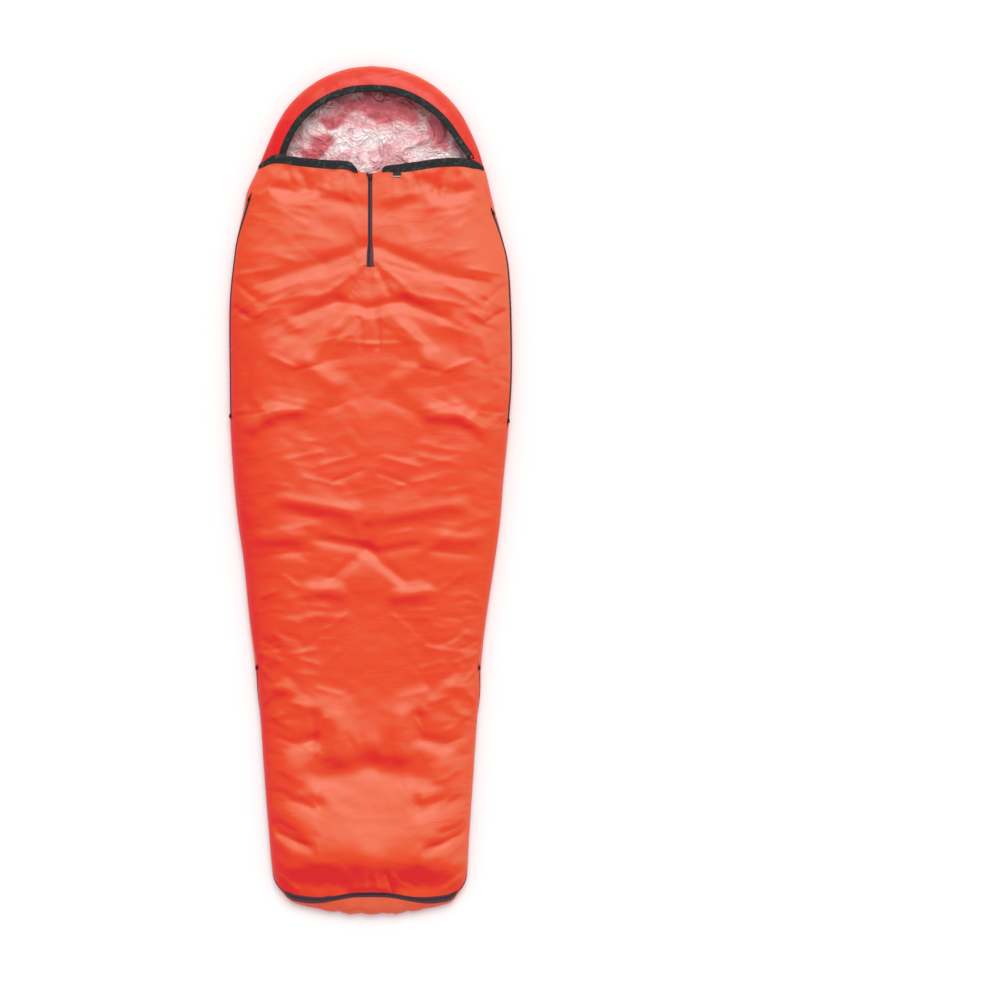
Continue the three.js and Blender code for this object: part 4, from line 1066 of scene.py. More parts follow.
class LinerColours(bpy.types.PropertyGroup):
    """Colours and gloss of the outer cloth"""

    outer: colour_setting("Outer cloth", "Colour of the cloth that faces the light", (0.79, 0.046, 0.004))
    warm: colour_setting("Warm streaks", "Colour of the faint streaks along the weave", (0.82, 0.085, 0.006))
    # The hood's cloth colour, set deeper than the outer cloth: painted shade for the hood's steeper cloth
    hood: colour_setting("Hood", "Colour of the hood's cloth", (0.74, 0.040, 0.016))
    # Painted shade and painted highlight: colours laid where the cloth turns from the light and where it faces it
    deep: colour_setting("Deep folds", "Colour of the cloth that turns from the light", (0.76, 0.001, 0.003))
    light: colour_setting("Light folds", "Colour of the cloth that faces the light most", (0.80, 0.130, 0.052))
    # Where the painted highlight ends and the painted shade starts, on the stored turn from the light
    painted_highlight_from: bpy.props.FloatProperty(
        name="Light from", description="Turn from the light up to which the colour is lightest", default=-0.07,
    )
    painted_highlight_to: bpy.props.FloatProperty(
        name="Light to", description="Turn from the light where the lighter colour ends", default=0.025,
    )
    painted_shade_from: bpy.props.FloatProperty(
        name="Deep from", description="Turn from the light where the colour starts to deepen", default=0.012,
    )
    painted_shade_to: bpy.props.FloatProperty(
        name="Deep to", description="Turn from the light where the colour is deepest", default=0.16,
    )
    gloss: bpy.props.FloatProperty(
        name="Gloss", description="Strength of the coat's gloss", default=0.2, min=0, max=1, subtype="FACTOR",
    )


class LinerStage(bpy.types.PropertyGroup):
    """Camera and light"""

    camera_height: length_setting("Camera height", "Height of the camera above the floor", 8.0)
    view_width: length_setting("View width", "Width of floor that the picture shows", 2.468)
    window: bpy.props.FloatProperty(
        name="Window light", description="Strength of the soft window light from the head side", default=1.4, min=0,
    )
    sky: bpy.props.FloatProperty(
        name="Sky light", description="Strength of the even light from all sides", default=0.72, min=0,
    )


class LINER_OT_materials(bpy.types.Operator):
    """Makes the cloths, foil, tapes and small parts' finishes"""

    bl_idname = "liner.materials"
    bl_label = "Materials"

    def execute(self, context):
        colours = context.scene.liner_colours
        make_cloth("orange_taffeta", colours.outer, colours.warm, colours)
        # The hood's copy of the cloth, in its deeper colour as painted shade
        make_cloth("hood_taffeta", colours.hood, colours.outer, colours)
        make_foil()
        make_tape("hood_tape", (0.008, 0.007, 0.007), (0.075, 0.070, 0.070), (0.05, 0.045, 0.045), 0.0205, 0.0185)
        make_tape("neck_tape", (0.008, 0.007, 0.007), (0.075, 0.070, 0.070), (0.05, 0.045, 0.045), 0.0215, 0.0185)
        make_tape("label_tape", (0.022, 0.021, 0.023), (0.035, 0.034, 0.036), (0.06, 0.06, 0.06), 0.010, 0.0088)
        make_plain("label_hem", (0.45, 0.45, 0.46), 0.0, 0.6, 900.0, 0.0001)
        make_zip("front_zip_tape", (0.062, 0.014, 0.028), (0.030, 0.010, 0.018), 0.0055, 0.0022)
        make_zip("side_zip_tape", (0.012, 0.007, 0.010), (0.010, 0.006, 0.008), 0.0045, 0.0022)
        make_zip("foot_zip_tape", (0.060, 0.014, 0.030), (0.036, 0.010, 0.020), 0.0085, 0.0026)
        make_plain("dark_metal", (0.035, 0.006, 0.010), 0.4, 0.42, 300.0, 0.0002)
        make_cord()
        return {"FINISHED"}


SETTLE_FRAMES = 30
SETTLE_GROWTH = 0.016
SETTLE_SHARE = 0.4
SETTLE_MOST = 0.005


def settle(piece):
    """Lets the cloth find small wrinkles of its own, pinned along its border, and keeps how high they rise"""
    laid = [vertex.co.copy() for vertex in piece.data.vertices]
    held = piece.vertex_groups.new(name="held")
    for vertex in piece.data.vertices:
        place = vertex.co
        past_neck = NECK.read("along", place.x) - place.y
        beside_slit = abs(place.x) if place.y > FRONT_ZIP_BOTTOM - 0.02 else math.inf
        free = min(edge_distance(place.x, place.y), past_neck, beside_slit)
        held.add([vertex.index], 1 - smoothstep(free, 0.012, 0.040), "REPLACE")
    cloth = piece.modifiers.new("cloth", "CLOTH")
    settings = cloth.settings
    settings.quality = 6
    settings.mass = 0.12
    settings.air_damping = 1.0
    settings.bending_model = "ANGULAR"
    settings.tension_stiffness = 18
    settings.compression_stiffness = 18
    settings.shear_stiffness = 8
    settings.bending_stiffness = 0.05
    settings.tension_damping = settings.compression_damping = settings.shear_damping = 8
    settings.shrink_min = -SETTLE_GROWTH
    settings.vertex_group_mass = held.name
    settings.pin_stiffness = 1
    settings.effector_weights.gravity = 0
    cloth.point_cache.frame_end = SETTLE_FRAMES
    for frame in range(1, SETTLE_FRAMES + 1):
        bpy.context.scene.frame_set(frame)
    bpy.ops.object.modifier_apply(modifier=cloth.name)
    bpy.context.scene.frame_set(1)
    for vertex, before in zip(piece.data.vertices, laid):
        lift = SETTLE_SHARE * (vertex.co.z - before.z)
        vertex.co = before + Vector((0, 0, min(SETTLE_MOST, max(-SETTLE_MOST, lift))))
    piece.vertex_groups.clear()


class LINER_OT_front_panel(bpy.types.Operator):
    """Makes the softly folded front panel with the slit for its zip"""

    bl_idname = "liner.front_panel"
    bl_label = "Front panel"

    def execute(self, context):
        slit_column = (MIDDLE_COLUMN + 0.5) / LAST_COLUMN
        slit_rows = (NECK.read("along", 0) - FRONT_ZIP_BOTTOM) / (NECK.read("along", 0) - FOOT_LINE.read("along", 0))
        piece = cloth_grid(
            "front_panel_cloth", LAST_COLUMN, PANEL_ROWS, lambda u, v: panel_point(u, 1 - v), (0.78, 1.87),
            lambda u, v: abs(u - slit_column) < 0.4 / LAST_COLUMN and 1 - v < slit_rows,
        )
        settle(piece)
        apply_modifier(piece, "SUBSURF", levels=1, render_levels=1)
        for vertex in piece.data.vertices:
            vertex.co.z += fine_height(vertex.co.x, vertex.co.y)
        # Painted shade and highlight over the front panel, with its painted sheen
        mark_painted_shading(piece, painted_sheen=painted_panel_sheen)
        thicken(piece, context.scene.liner_sizes.cloth, inner=True)
        finish_piece(piece, ("orange_taffeta", "crumpled_foil"), ("front_panel",))
        return {"FINISHED"}


BACK_CURL_COLUMNS = 10
BACK_FLAT_COLUMNS = 34
BACK_ROWS = 320


def back_point(u, v, curl_columns=BACK_CURL_COLUMNS, flat_columns=BACK_FLAT_COLUMNS):
    """A point of the back panel: u runs from the left to the right seam, v from the head to the foot"""
    column = u * (2 * curl_columns + flat_columns)
    from_end = min(column, 2 * curl_columns + flat_columns - column)

    def curled(side, step):
        edge = edge_at(side, v)
        top = profile_angle(edge.seam - seam_half_gap(side, edge.along), edge.along)
        point, normal = edge_point(side, v, lerp(top, math.pi, step / curl_columns))
        pleat = FOOT_FIELD.rise(point.x, point.y) * math.sin(math.pi * step / curl_columns)
        return point + normal * pleat

    if from_end <= curl_columns:
        return curled("left" if u < 0.5 else "right", from_end)
    share = (column - curl_columns) / flat_columns
    point = curled("left", curl_columns).lerp(curled("right", curl_columns), share)
    inside = smoothstep(edge_distance(point.x, point.y), CURL_REACH + 0.005, CURL_REACH + 0.08)
    ridge = abs(noise.noise(Vector((point.x * 6, point.y * 4, 8.3))))
    point.z += inside * 0.0022 * max(0, 0.35 - ridge)
    return point


FOOT_FIELD = FoldField((
    # Pleats of the foot's cloth beyond the zip
    Fold((-0.060, -1.000), (-0.080, -1.046), 0.007, -0.0050, (0.012, 0.0), 1.0),
    Fold((-0.042, -1.000), (-0.052, -1.048), 0.006, 0.0034, (0.012, 0.0), 1.0),
    Fold((-0.020, -1.000), (-0.024, -1.048), 0.006, -0.0030, (0.004, 0.0), 1.0),
    Fold((-0.120, -1.005), (-0.135, -1.036), 0.010, -0.0018, (0.0, 0.0), 1.0),
    Fold((0.0, -1.000), (0.0, -1.048), 0.016, 0.0020),
))


class LINER_OT_back_panel(bpy.types.Operator):
    """Makes the back panel, flat on the ground and curled up to the seams"""

    bl_idname = "liner.back_panel"
    bl_label = "Back panel"

    def execute(self, context):
        columns = 2 * BACK_CURL_COLUMNS + BACK_FLAT_COLUMNS
        piece = cloth_grid(
            "back_panel_cloth", columns, BACK_ROWS, lambda u, v: back_point(1 - u, 1 - v), (0.78, 2.1),
        )
        merge_corners(piece)
        # Painted shade and highlight, weaker on the back panel; the foot's flap is painted lighter
        mark_painted_shading(piece, 0.3, lambda place: 0.085 * (1 - smoothstep(place.y, -1.0, -0.97)))
        thicken(piece, context.scene.liner_sizes.cloth, inner=True)
        finish_piece(piece, ("orange_taffeta", "crumpled_foil"), ("back_panel", "back_edge"))
        return {"FINISHED"}


HOOD_STEPS = 90
HOOD_TUCK = 0.12
RIM_CLOTH_DEPTH = 0.01635


def hood_place(u, level):
    """Side and share of a place on the hood: u runs from the left neck over the head to the right neck"""
    side = "left" if u < 0.5 else "right"
    end = HOOD_ENDS[side]
    return side, edge_share(side, lerp(end.seam, end.rim, level)) * abs(2 * u - 1)


def rim_angle(side, share, extra=0):
    along = edge_at(side, share).along
    inset = RIM.read(side, along) + extra
    return math.asin(max(0, 1 - inset / profile_reach(along)))


def rim_point(side, share, extra, depth):
    """A point near the hood's rim, flat once it is past the profile's crown"""
    edge = edge_at(side, share)
    depth += hood_sink(side, edge.along)
    point, normal = edge_point(side, share, rim_angle(side, share, extra), depth)
    beyond = max(0, RIM.read(side, edge.along) + extra - profile_reach(edge.along))
    point.x += edge.inward.x * beyond
    point.y += edge.inward.y * beyond
    return point, normal


def hood_point(u, v, gathers):
    """A point of the hood: v runs from the head seam to the rim and on into its tape"""
    level = v * (1 + HOOD_TUCK)
    side, share = hood_place(u, min(1, level))
    if level > 1:
        tuck = (level - 1) / HOOD_TUCK
        return rim_point(side, share, RIM_CLOTH_DEPTH * tuck, 0)[0]
    edge = edge_at(side, share)
    low = profile_angle(edge.seam + 0.0002, edge.along)
    under = hood_sink(side, edge.along) * smoothstep(level, 0, 0.5)
    near_end = smoothstep(abs(2 * u - 1), 0.86, 0.97)
    under += 0.0010 * near_end * smoothstep(level, 0.2, 0.5) * (1 - smoothstep(level, 0.85, 1))
    point, normal = edge_point(side, share, lerp(low, rim_angle(side, share), level), under)
    place = Vector((u * 17, level * 1.3, 2.2))
    gather = noise.noise(place) + 0.35 * noise.noise(place * 3.1)
    fade = smoothstep(level, 0.02, 0.35) * (1 - 0.75 * smoothstep(level, 0.8, 1))
    fade *= 1 - near_end
    return point + normal * gathers * gather * fade


def painted_hood_shade(point):
    """Painted shade of the hood: deeper all over, more towards its left end, and a little towards its right end"""
    left = smoothstep(-point.x, 0.08, 0.24) * (1 - smoothstep(point.y, 0.86, 0.99))
    right = smoothstep(point.x, 0.12, 0.26) * (1 - smoothstep(point.y, 0.84, 0.96))
    return -0.085 - 0.08 * left - 0.02 * right


def hood_sink(side, along):
    """How deep the hood's ends lie under the neck of the front panel"""
    sunk, over = HOOD_SINKS
    return sunk * (1 - smoothstep(along, HOOD_ENDS[side].rim, HOOD_ENDS[side].rim + over))


class LINER_OT_hood(bpy.types.Operator):
    """Makes the hood, gathered a little into its rim"""

    bl_idname = "liner.hood"
    bl_label = "Hood"

    def execute(self, context):
        sizes = context.scene.liner_sizes
        piece = cloth_grid(
            "hood_cloth", 2 * HOOD_STEPS, 26, lambda u, v: hood_point(u, 1 - v, sizes.gathers), (1.05, 0.10),
        )
        apply_modifier(piece, "SUBSURF", levels=1, render_levels=1)
        # Painted shade and highlight over the hood, by its turn from the light and its painted shade
        mark_painted_shading(piece, 0.4, painted_hood_shade)
        thicken(piece, sizes.cloth, inner=True)
        finish_piece(piece, ("hood_taffeta", "crumpled_foil"), ("hood",))
        return {"FINISHED"}


LINING_STEPS = 70
LINING_BODY_ROWS = 46
LINING_WALL_COLUMNS = 16
LINING_FLAT_COLUMNS = 84
LINING_INSET = 0.004
LINING_AT_RIM = 0.00195

# Crumpled creases of the foil: the way each set runs, its spacing and its share of the height
Crease = namedtuple("Crease", "degrees spacing height")
CREASES = (
    Crease(14, 0.047, 0.30),
    Crease(71, 0.038, 0.26),
    Crease(128, 0.029, 0.20),
    Crease(38, 0.019, 0.14),
    Crease(101, 0.015, 0.12),
    Crease(160, 0.011, 0.09),
    Crease(55, 0.0085, 0.06),
)


# Painted reflections of the red cloth on the smoother parts of the foil: middle, how far they reach, and how
# strongly
Mirrored = namedtuple("Mirrored", "across along wide tall share")
PAINTED_REFLECTIONS = (
    Mirrored(0.040, 0.950, 0.180, 0.050, 1.0),
    Mirrored(-0.100, 0.925, 0.070, 0.034, 0.9),
    Mirrored(-0.137, 0.850, 0.046, 0.030, 1.0),
    Mirrored(0.165, 0.885, 0.055, 0.050, 0.9),
    Mirrored(0.210, 0.840, 0.030, 0.030, 0.6),
    Mirrored(-0.190, 0.880, 0.030, 0.040, 0.6),
)


# Stores where the foil's colour is painted with reflections of the red cloth
def mark_painted_reflections(piece):
    mirrored = piece.data.attributes.new("mirrored", "FLOAT", "POINT")
    for vertex in piece.data.vertices:
        share = 0
        drift = noise.noise_vector(vertex.co * 16) * 0.034
        place = vertex.co + drift + noise.noise_vector(vertex.co * 45) * 0.010
        for part in PAINTED_REFLECTIONS:
            off = ((place.x - part.across) / part.wide) ** 2 + ((place.y - part.along) / part.tall) ** 2
            share = max(share, part.share * math.exp(-off))
        mirrored.data[vertex.index].value = share


def crinkle(across, along):
    """Sharp creases as in crumpled foil, from 0 to about 1"""
    here = Vector((across, along, 0))
    total = 0
    for index, crease in enumerate(CREASES):
        angle = math.radians(crease.degrees)
        drift = noise.noise(here * 9 + Vector((index * 3.1, 0, 1.7)))
        phase = (across * math.cos(angle) + along * math.sin(angle)) / crease.spacing + 1.7 * drift
        strength = 0.55 + noise.noise(here * 13 + Vector((0, index * 5.3, 4.1)))
        total += crease.height * max(0, strength) * 2 * abs(phase - math.floor(phase) - 0.5)
    return total


def lining_wall(side, row, step):
    """A point of the lining's wall, from the hood's rim (step 0) down to the ground"""
    share = step / LINING_WALL_COLUMNS
    if row <= LINING_STEPS:
        part = row / LINING_STEPS
        end = HOOD_ENDS[side]
        at_rim = edge_share(side, end.rim) * part
        at_seam = edge_share(side, end.seam) * part
        if step < 2:
            return rim_point(side, at_rim, RIM_CLOTH_DEPTH * (1 - 0.9 * step), LINING_AT_RIM)[0]
        level = max(0, 1 - (share - 0.06) / 0.5)
        here = lerp(at_seam, at_rim, level)
        if level > 0:
            angle = lerp(QUARTER_TURN, rim_angle(side, here), level * 0.94)
        else:
            angle = lerp(QUARTER_TURN, math.pi, (share - 0.56) / 0.44)
        depth = lerp(LINING_INSET, LINING_AT_RIM, smoothstep(level, 0.6, 1))
        depth += hood_sink(side, edge_at(side, here).along) * smoothstep(level, 0, 0.6)
        return edge_point(side, here, angle, depth)[0]
    start = edge_share(side, HOOD_ENDS[side].seam)
    stop = edge_share(side, LINING_END)
    here = lerp(start, stop, (row - LINING_STEPS) / LINING_BODY_ROWS)
    return edge_point(side, here, lerp(QUARTER_TURN + 0.1, math.pi, share), LINING_INSET)[0]


def lining_point(u, v, height):
    """A point of the lining: u runs from the left to the right, v from the top of the head to the chest"""
    row = round(v * (LINING_STEPS + LINING_BODY_ROWS))
    column = u * (2 * LINING_WALL_COLUMNS + LINING_FLAT_COLUMNS)
    from_end = min(column, 2 * LINING_WALL_COLUMNS + LINING_FLAT_COLUMNS - column)
    if from_end <= LINING_WALL_COLUMNS:
        point = lining_wall("left" if u < 0.5 else "right", row, round(from_end))
        fade = smoothstep(from_end, 2, LINING_WALL_COLUMNS)
    else:
        left, right = (lining_wall(side, row, LINING_WALL_COLUMNS) for side in SIDES)
        point = left.lerp(right, (column - LINING_WALL_COLUMNS) / LINING_FLAT_COLUMNS)
        fade = 1
    point.z += fade * height * (crinkle(point.x, point.y) - 0.3)
    return point


class LINER_OT_lining(bpy.types.Operator):
    """Makes the crumpled foil lining of the hood, which runs on under the front panel"""

    bl_idname = "liner.lining"
    bl_label = "Foil lining"

    def execute(self, context):
        sizes = context.scene.liner_sizes
        columns = 2 * LINING_WALL_COLUMNS + LINING_FLAT_COLUMNS
        rows = LINING_STEPS + LINING_BODY_ROWS
        piece = cloth_grid(
            "lining_foil", columns, rows, lambda u, v: lining_point(u, 1 - v, sizes.crinkle), (0.78, 0.60),
        )
        merge_corners(piece)
        mark_painted_reflections(piece)
        thicken(piece, sizes.foil)
        finish_piece(piece, ("crumpled_foil",), ("lining",), smooth_degrees=35)
        return {"FINISHED"}


# Tapes and zips
Frame = namedtuple("Frame", "edge out normal depth")
TAPE_COLUMNS = 16
TAPE_HALF_GAP = 0.0014


def tape_point(frames, u, v, puckers):
    """A point of a tape folded over an edge: u runs round the fold, v along the edge"""
    here = frames[round(v * (len(frames) - 1))]
    fold = 0.08
    half = TAPE_HALF_GAP
    if abs(u - 0.5) <= fold:
        angle = (u - 0.5) / fold * QUARTER_TURN
        ahead, up = 0.0004 + half * math.cos(angle), half * math.sin(angle)
    else:
        back = (abs(u - 0.5) - fold) / (0.5 - fold)
        ahead, up = 0.0004 - back * (here.depth + 0.0004), math.copysign(half, u - 0.5)
        place = here.edge * 75 + Vector((0, 0, ahead * 120))
        up += math.copysign(puckers, up) * (0.5 + noise.noise(place)) * math.sin(math.pi * min(1, 1.15 * back))
    return here.edge + here.out * ahead + here.normal * up


def make_folded_tape(name, frames, material, nodes, sizes, length):
    wide = 2 * frames[len(frames) // 2].depth + 0.005
    piece = cloth_grid(
        name, TAPE_COLUMNS, len(frames) - 1, lambda u, v: tape_point(frames, u, v, 0.0009), (wide, length),
    )
    apply_modifier(piece, "SOLIDIFY", thickness=sizes.tape, offset=0)
    return finish_piece(piece, (material,), nodes, smooth_degrees=60)


class LINER_OT_hood_binding(bpy.types.Operator):
    """Makes the dark tape over the rim of the hood and of its lining"""

    bl_idname = "liner.hood_binding"
    bl_label = "Hood binding"

    def execute(self, context):
        frames = []
        for step in range(331):
            u = 1 - lerp(0.012, 0.988, step / 330)
            side, share = hood_place(u, 1)
            rim, _ = rim_point(side, share, 0, LINING_AT_RIM / 2)
            edge, _ = rim_point(side, share, RIM_CLOTH_DEPTH, LINING_AT_RIM / 2)
            out = (edge - rim).normalized()
            along = Vector((0, 0, 1)).cross(out)
            frames.append(Frame(edge, out, out.cross(along).normalized(), RIM_CLOTH_DEPTH - 0.001))
        length = sum((b.edge - a.edge).length for a, b in zip(frames, frames[1:]))
        sizes = context.scene.liner_sizes
        make_folded_tape("hood_binding_tape", frames, "hood_tape", ("hood_binding",), sizes, length)
        return {"FINISHED"}


def neck_frames(side):
    """Places along one half of the neck edge"""
    stop = NECK_TAPE_ENDS[side]
    steps = [step / 600 for step in range(3, 300)]
    if side == "right":
        steps = [1 - step for step in reversed(steps)]
    steps = [u for u in steps if (panel_point(u, 0).x < stop if side == "left" else panel_point(u, 0).x > stop)]
    frames = []
    for u in steps:
        edge = panel_point(u, 0)
        under = panel_point(u, 0.011)
        aside = panel_point(min(1, u + 0.002), 0) - panel_point(max(0, u - 0.002), 0)
        out = (edge - under).normalized()
        depth = min((edge - under).length - 0.0005, NECK.read("tape", edge.x))
        frames.append(Frame(edge, out, aside.cross(out).normalized(), depth))
    return frames


class LINER_OT_neck_bindings(bpy.types.Operator):
    """Makes the dark tapes over the two halves of the neck edge"""

    bl_idname = "liner.neck_bindings"
    bl_label = "Neck bindings"

    def execute(self, context):
        for side in SIDES:
            frames = neck_frames(side)
            length = sum((b.edge - a.edge).length for a, b in zip(frames, frames[1:]))
            name = f"neck_binding_{side}"
            make_folded_tape(
                f"{name}_tape", frames, "neck_tape", (name,), context.scene.liner_sizes, length,
            )
        return {"FINISHED"}


ZIP_COLUMNS = 14


def zip_lift(aside, half, coil_half):
    """How far a zip's face stands out: the coil along its middle, and its edges tucked under the cloth"""
    coil = 0.0009 * math.sqrt(max(0, 1 - (aside / coil_half) ** 2))
    tucked = smoothstep(abs(aside), half - 0.0008, half + 0.0006)
    return coil + 0.0001 - 0.0014 * tucked


def make_seam_zip(name, places, coil_half, material, sizes):
    """A zip in the seam through the given sides and shares"""
    rows = []
    for side, share in places:
        row = []
        half = seam_half_gap(side, edge_at(side, share).along)
        for column in range(ZIP_COLUMNS + 1):
            aside = lerp(-half - 0.002, half + 0.002, column / ZIP_COLUMNS)
            point, normal = seam_point(side, share, aside)
            row.append(point + normal * zip_lift(aside, half, min(coil_half, half)))
        rows.append(row)
    length = sum((b[7] - a[7]).length for a, b in zip(rows, rows[1:]))
    piece = cloth_grid(
        f"{name}_tape", ZIP_COLUMNS, len(rows) - 1,
        lambda u, v: rows[round(v * (len(rows) - 1))][round(u * ZIP_COLUMNS)], (4 * coil_half + 0.004, length),
    )
    apply_modifier(piece, "SOLIDIFY", thickness=sizes.zip_tape, offset=0)
    return finish_piece(piece, (material,), (name,), smooth_degrees=60)


class LINER_OT_side_zips(bpy.types.Operator):
    """Makes the two side zips at chest height"""

    bl_idname = "liner.side_zips"
    bl_label = "Side zips"

    def execute(self, context):
        for side in SIDES:
            top = edge_share(side, SIDE_ZIP_TOP[side])
            bottom = edge_share(side, SIDE_ZIP_BOTTOM[side])
            places = [(side, lerp(bottom, top, step / 220)) for step in range(221)]
            if side == "right":
                places.reverse()
            make_seam_zip(
                f"side_zip_{side}", places, 0.0021, "side_zip_tape", context.scene.liner_sizes,
            )
        return {"FINISHED"}


class LINER_OT_foot_zip(bpy.types.Operator):
    """Makes the long zip around the foot"""

    bl_idname = "liner.foot_zip"
    bl_label = "Foot zip"

    def execute(self, context):
        half = {side: edge_share(side, FOOT_ZIP_TOP) for side in SIDES}
        right = [("right", lerp(half["right"], 1, step / 260)) for step in range(261)]
        left = [("left", lerp(half["left"], 1, step / 260)) for step in range(260)]
        places = [*right, *reversed(left)]
        make_seam_zip("foot_zip", places, 0.0026, "foot_zip_tape", context.scene.liner_sizes)
        return {"FINISHED"}


def front_zip_point(u, v):
    along = lerp(FRONT_ZIP_BOTTOM + 0.002, FRONT_ZIP_TOP, v)
    half = slit_half(along)
    aside = lerp(-half - 0.002, half + 0.002, u)
    tail = smoothstep(along, FRONT_ZIP_BOTTOM, FRONT_ZIP_BOTTOM + 0.010)
    lift = zip_lift(aside, half, 0.0022)
    return Vector((aside, along, top_height(aside, along) + lift * tail - 0.0014 * (1 - tail)))


class LINER_OT_front_zip(bpy.types.Operator):
    """Makes the short zip down the middle of the chest"""

    bl_idname = "liner.front_zip"
    bl_label = "Front zip"

    def execute(self, context):
        piece = cloth_grid("front_zip_tape", ZIP_COLUMNS + 4, 150, front_zip_point, (0.015, 0.232))
        apply_modifier(piece, "SOLIDIFY", thickness=context.scene.liner_sizes.zip_tape, offset=0)
        finish_piece(piece, ("front_zip_tape",), ("front_zip",), smooth_degrees=60)
        return {"FINISHED"}


# Small parts
def select_faces(piece, wanted):
    """In edit mode, selects the faces that are wanted, by their middle and normal"""
    build = bmesh.from_edit_mesh(piece.data)
    for face in build.faces:
        face.select = wanted(face.calc_center_median(), face.normal)
    build.select_flush_mode()
    bmesh.update_edit_mesh(piece.data)


def add_block(size, centre, bevel):
    """A block with rounded edges"""
    bpy.ops.mesh.primitive_cube_add(size=1, location=centre, scale=size)
    bpy.ops.object.transform_apply(location=True, rotation=True, scale=True)
    bpy.ops.object.mode_set(mode="EDIT")
    bpy.ops.mesh.select_all(action="SELECT")
    bpy.ops.mesh.bevel(offset=bevel, segments=3, affect="EDGES")
    bpy.ops.object.mode_set(mode="OBJECT")
    return bpy.context.object


def join_pieces(name, parts):
    deselect()
    for part in parts:
        part.select_set(True)
    bpy.context.view_layer.objects.active = parts[0]
    bpy.ops.object.join()
    parts[0].name = name
    parts[0].data.name = name
    return parts[0]


def make_slider(name, width, length, height):
    """A zip slider seen from above: a waisted body, a bridge over it and a short pull that lies back"""
    deselect()
    body = add_block((width, length, height * 0.55), (0, 0, height * 0.28), width * 0.14)
    bpy.ops.object.mode_set(mode="EDIT")
    select_faces(body, lambda middle, normal: middle.y < -length * 0.4)
    bpy.ops.transform.resize(value=(0.72, 1, 1))
    select_faces(body, lambda middle, normal: normal.z > 0.99)
    bpy.ops.mesh.inset(thickness=width * 0.10)
    bpy.ops.mesh.extrude_region_move(TRANSFORM_OT_translate={"value": (0, 0, -height * 0.08)})
    bpy.ops.object.mode_set(mode="OBJECT")
    bridge = add_block((width * 0.26, length * 0.62, height * 0.34), (0, length * 0.06, height * 0.62), width * 0.08)
    bpy.ops.object.mode_set(mode="EDIT")
    select_faces(bridge, lambda middle, normal: middle.z > height * 0.7)
    bpy.ops.transform.resize(value=(0.8, 0.7, 1))
    bpy.ops.object.mode_set(mode="OBJECT")
    pull = add_block((width * 0.62, length * 0.66, height * 0.18), (0, -length * 0.16, height * 0.90), width * 0.07)
    bpy.ops.object.mode_set(mode="EDIT")
    select_faces(pull, lambda middle, normal: normal.z > 0.99)
    bpy.ops.mesh.inset(thickness=width * 0.12)
    bpy.ops.mesh.extrude_region_move(TRANSFORM_OT_translate={"value": (0, 0, -height * 0.05)})
    bpy.ops.object.mode_set(mode="OBJECT")
    return join_pieces(name, [body, bridge, pull])


SEAM_SLIDERS = (
    ("side_zip_slider_left_top", "left", SIDE_ZIP_TOP["left"] - 0.009),
    ("side_zip_slider_right_top", "right", SIDE_ZIP_TOP["right"] - 0.009),
    ("side_zip_slider_left_low", "left", SIDE_ZIP_BOTTOM["left"] + 0.008),
    ("side_zip_slider_right_low", "right", SIDE_ZIP_BOTTOM["right"] + 0.008),
    ("foot_zip_slider_left", "left", FOOT_ZIP_TOP - 0.009),
    ("foot_zip_slider_right", "right", FOOT_ZIP_TOP - 0.009),
)


class LINER_OT_seam_sliders(bpy.types.Operator):
    """Makes the six small sliders of the side and foot zips"""

    bl_idname = "liner.seam_sliders"
    bl_label = "Seam sliders"

    def execute(self, context):
        model = make_slider("seam_slider", 0.006, 0.011, 0.0034)
        for name, side, along in SEAM_SLIDERS:
            share = edge_share(side, along)
            edge = edge_at(side, share)
            angle = profile_angle(edge.seam, edge.along)
            point, up = edge_point(side, share, angle)
            behind, _ = edge_point(side, share + 0.004, angle)
            aside = (point - behind).cross(up).normalized()
            forward = up.cross(aside)
            base = point + up * 0.0013
            piece = model.copy()
            piece.data = model.data.copy()
            piece.name = f"{name}_body"
            piece.data.name = piece.name
            context.collection.objects.link(piece)
            turn = Matrix((aside, forward, up)).transposed().to_4x4()
            piece.data.transform(Matrix.Translation(base) @ turn)
            finish_piece(piece, ("dark_metal",), (name,), smooth_degrees=40)
        bpy.data.objects.remove(model)
        return {"FINISHED"}


class LINER_OT_front_slider(bpy.types.Operator):
    """Makes the front zip's slider and its turned pull"""

    bl_idname = "liner.front_slider"
    bl_label = "Front slider"

    def execute(self, context):
        along = FRONT_ZIP_TOP - 0.010
        base = Vector((0, along, top_height(0, along) + 0.0014))
        slider = make_slider("front_zip_slider_body", 0.009, 0.013, 0.0036)
        slider.data.transform(Matrix.Translation(base))
        finish_piece(slider, ("dark_metal",), ("front_zip_slider",), smooth_degrees=40)
        deselect()
        pull = add_block((0.005, 0.015, 0.0014), (0, 0, 0.0007), 0.0005)
        bpy.ops.object.mode_set(mode="EDIT")
        select_faces(pull, lambda middle, normal: middle.y > 0.005)
        bpy.ops.transform.resize(value=(0.7, 1, 1))
        select_faces(pull, lambda middle, normal: normal.z > 0.99)
        bpy.ops.mesh.inset(thickness=0.0009)
        bpy.ops.mesh.extrude_region_move(TRANSFORM_OT_translate={"value": (0, 0, -0.0003)})
        bpy.ops.object.mode_set(mode="OBJECT")
        pull.name = "front_zip_pull_body"
        place = Matrix.Translation(base + Vector((-0.004, 0.004, 0.0041)))
        pull.data.transform(place @ Matrix.Rotation(0.62, 4, "Z"))
        finish_piece(pull, ("dark_metal",), ("front_zip_pull",), smooth_degrees=40)
        return {"FINISHED"}


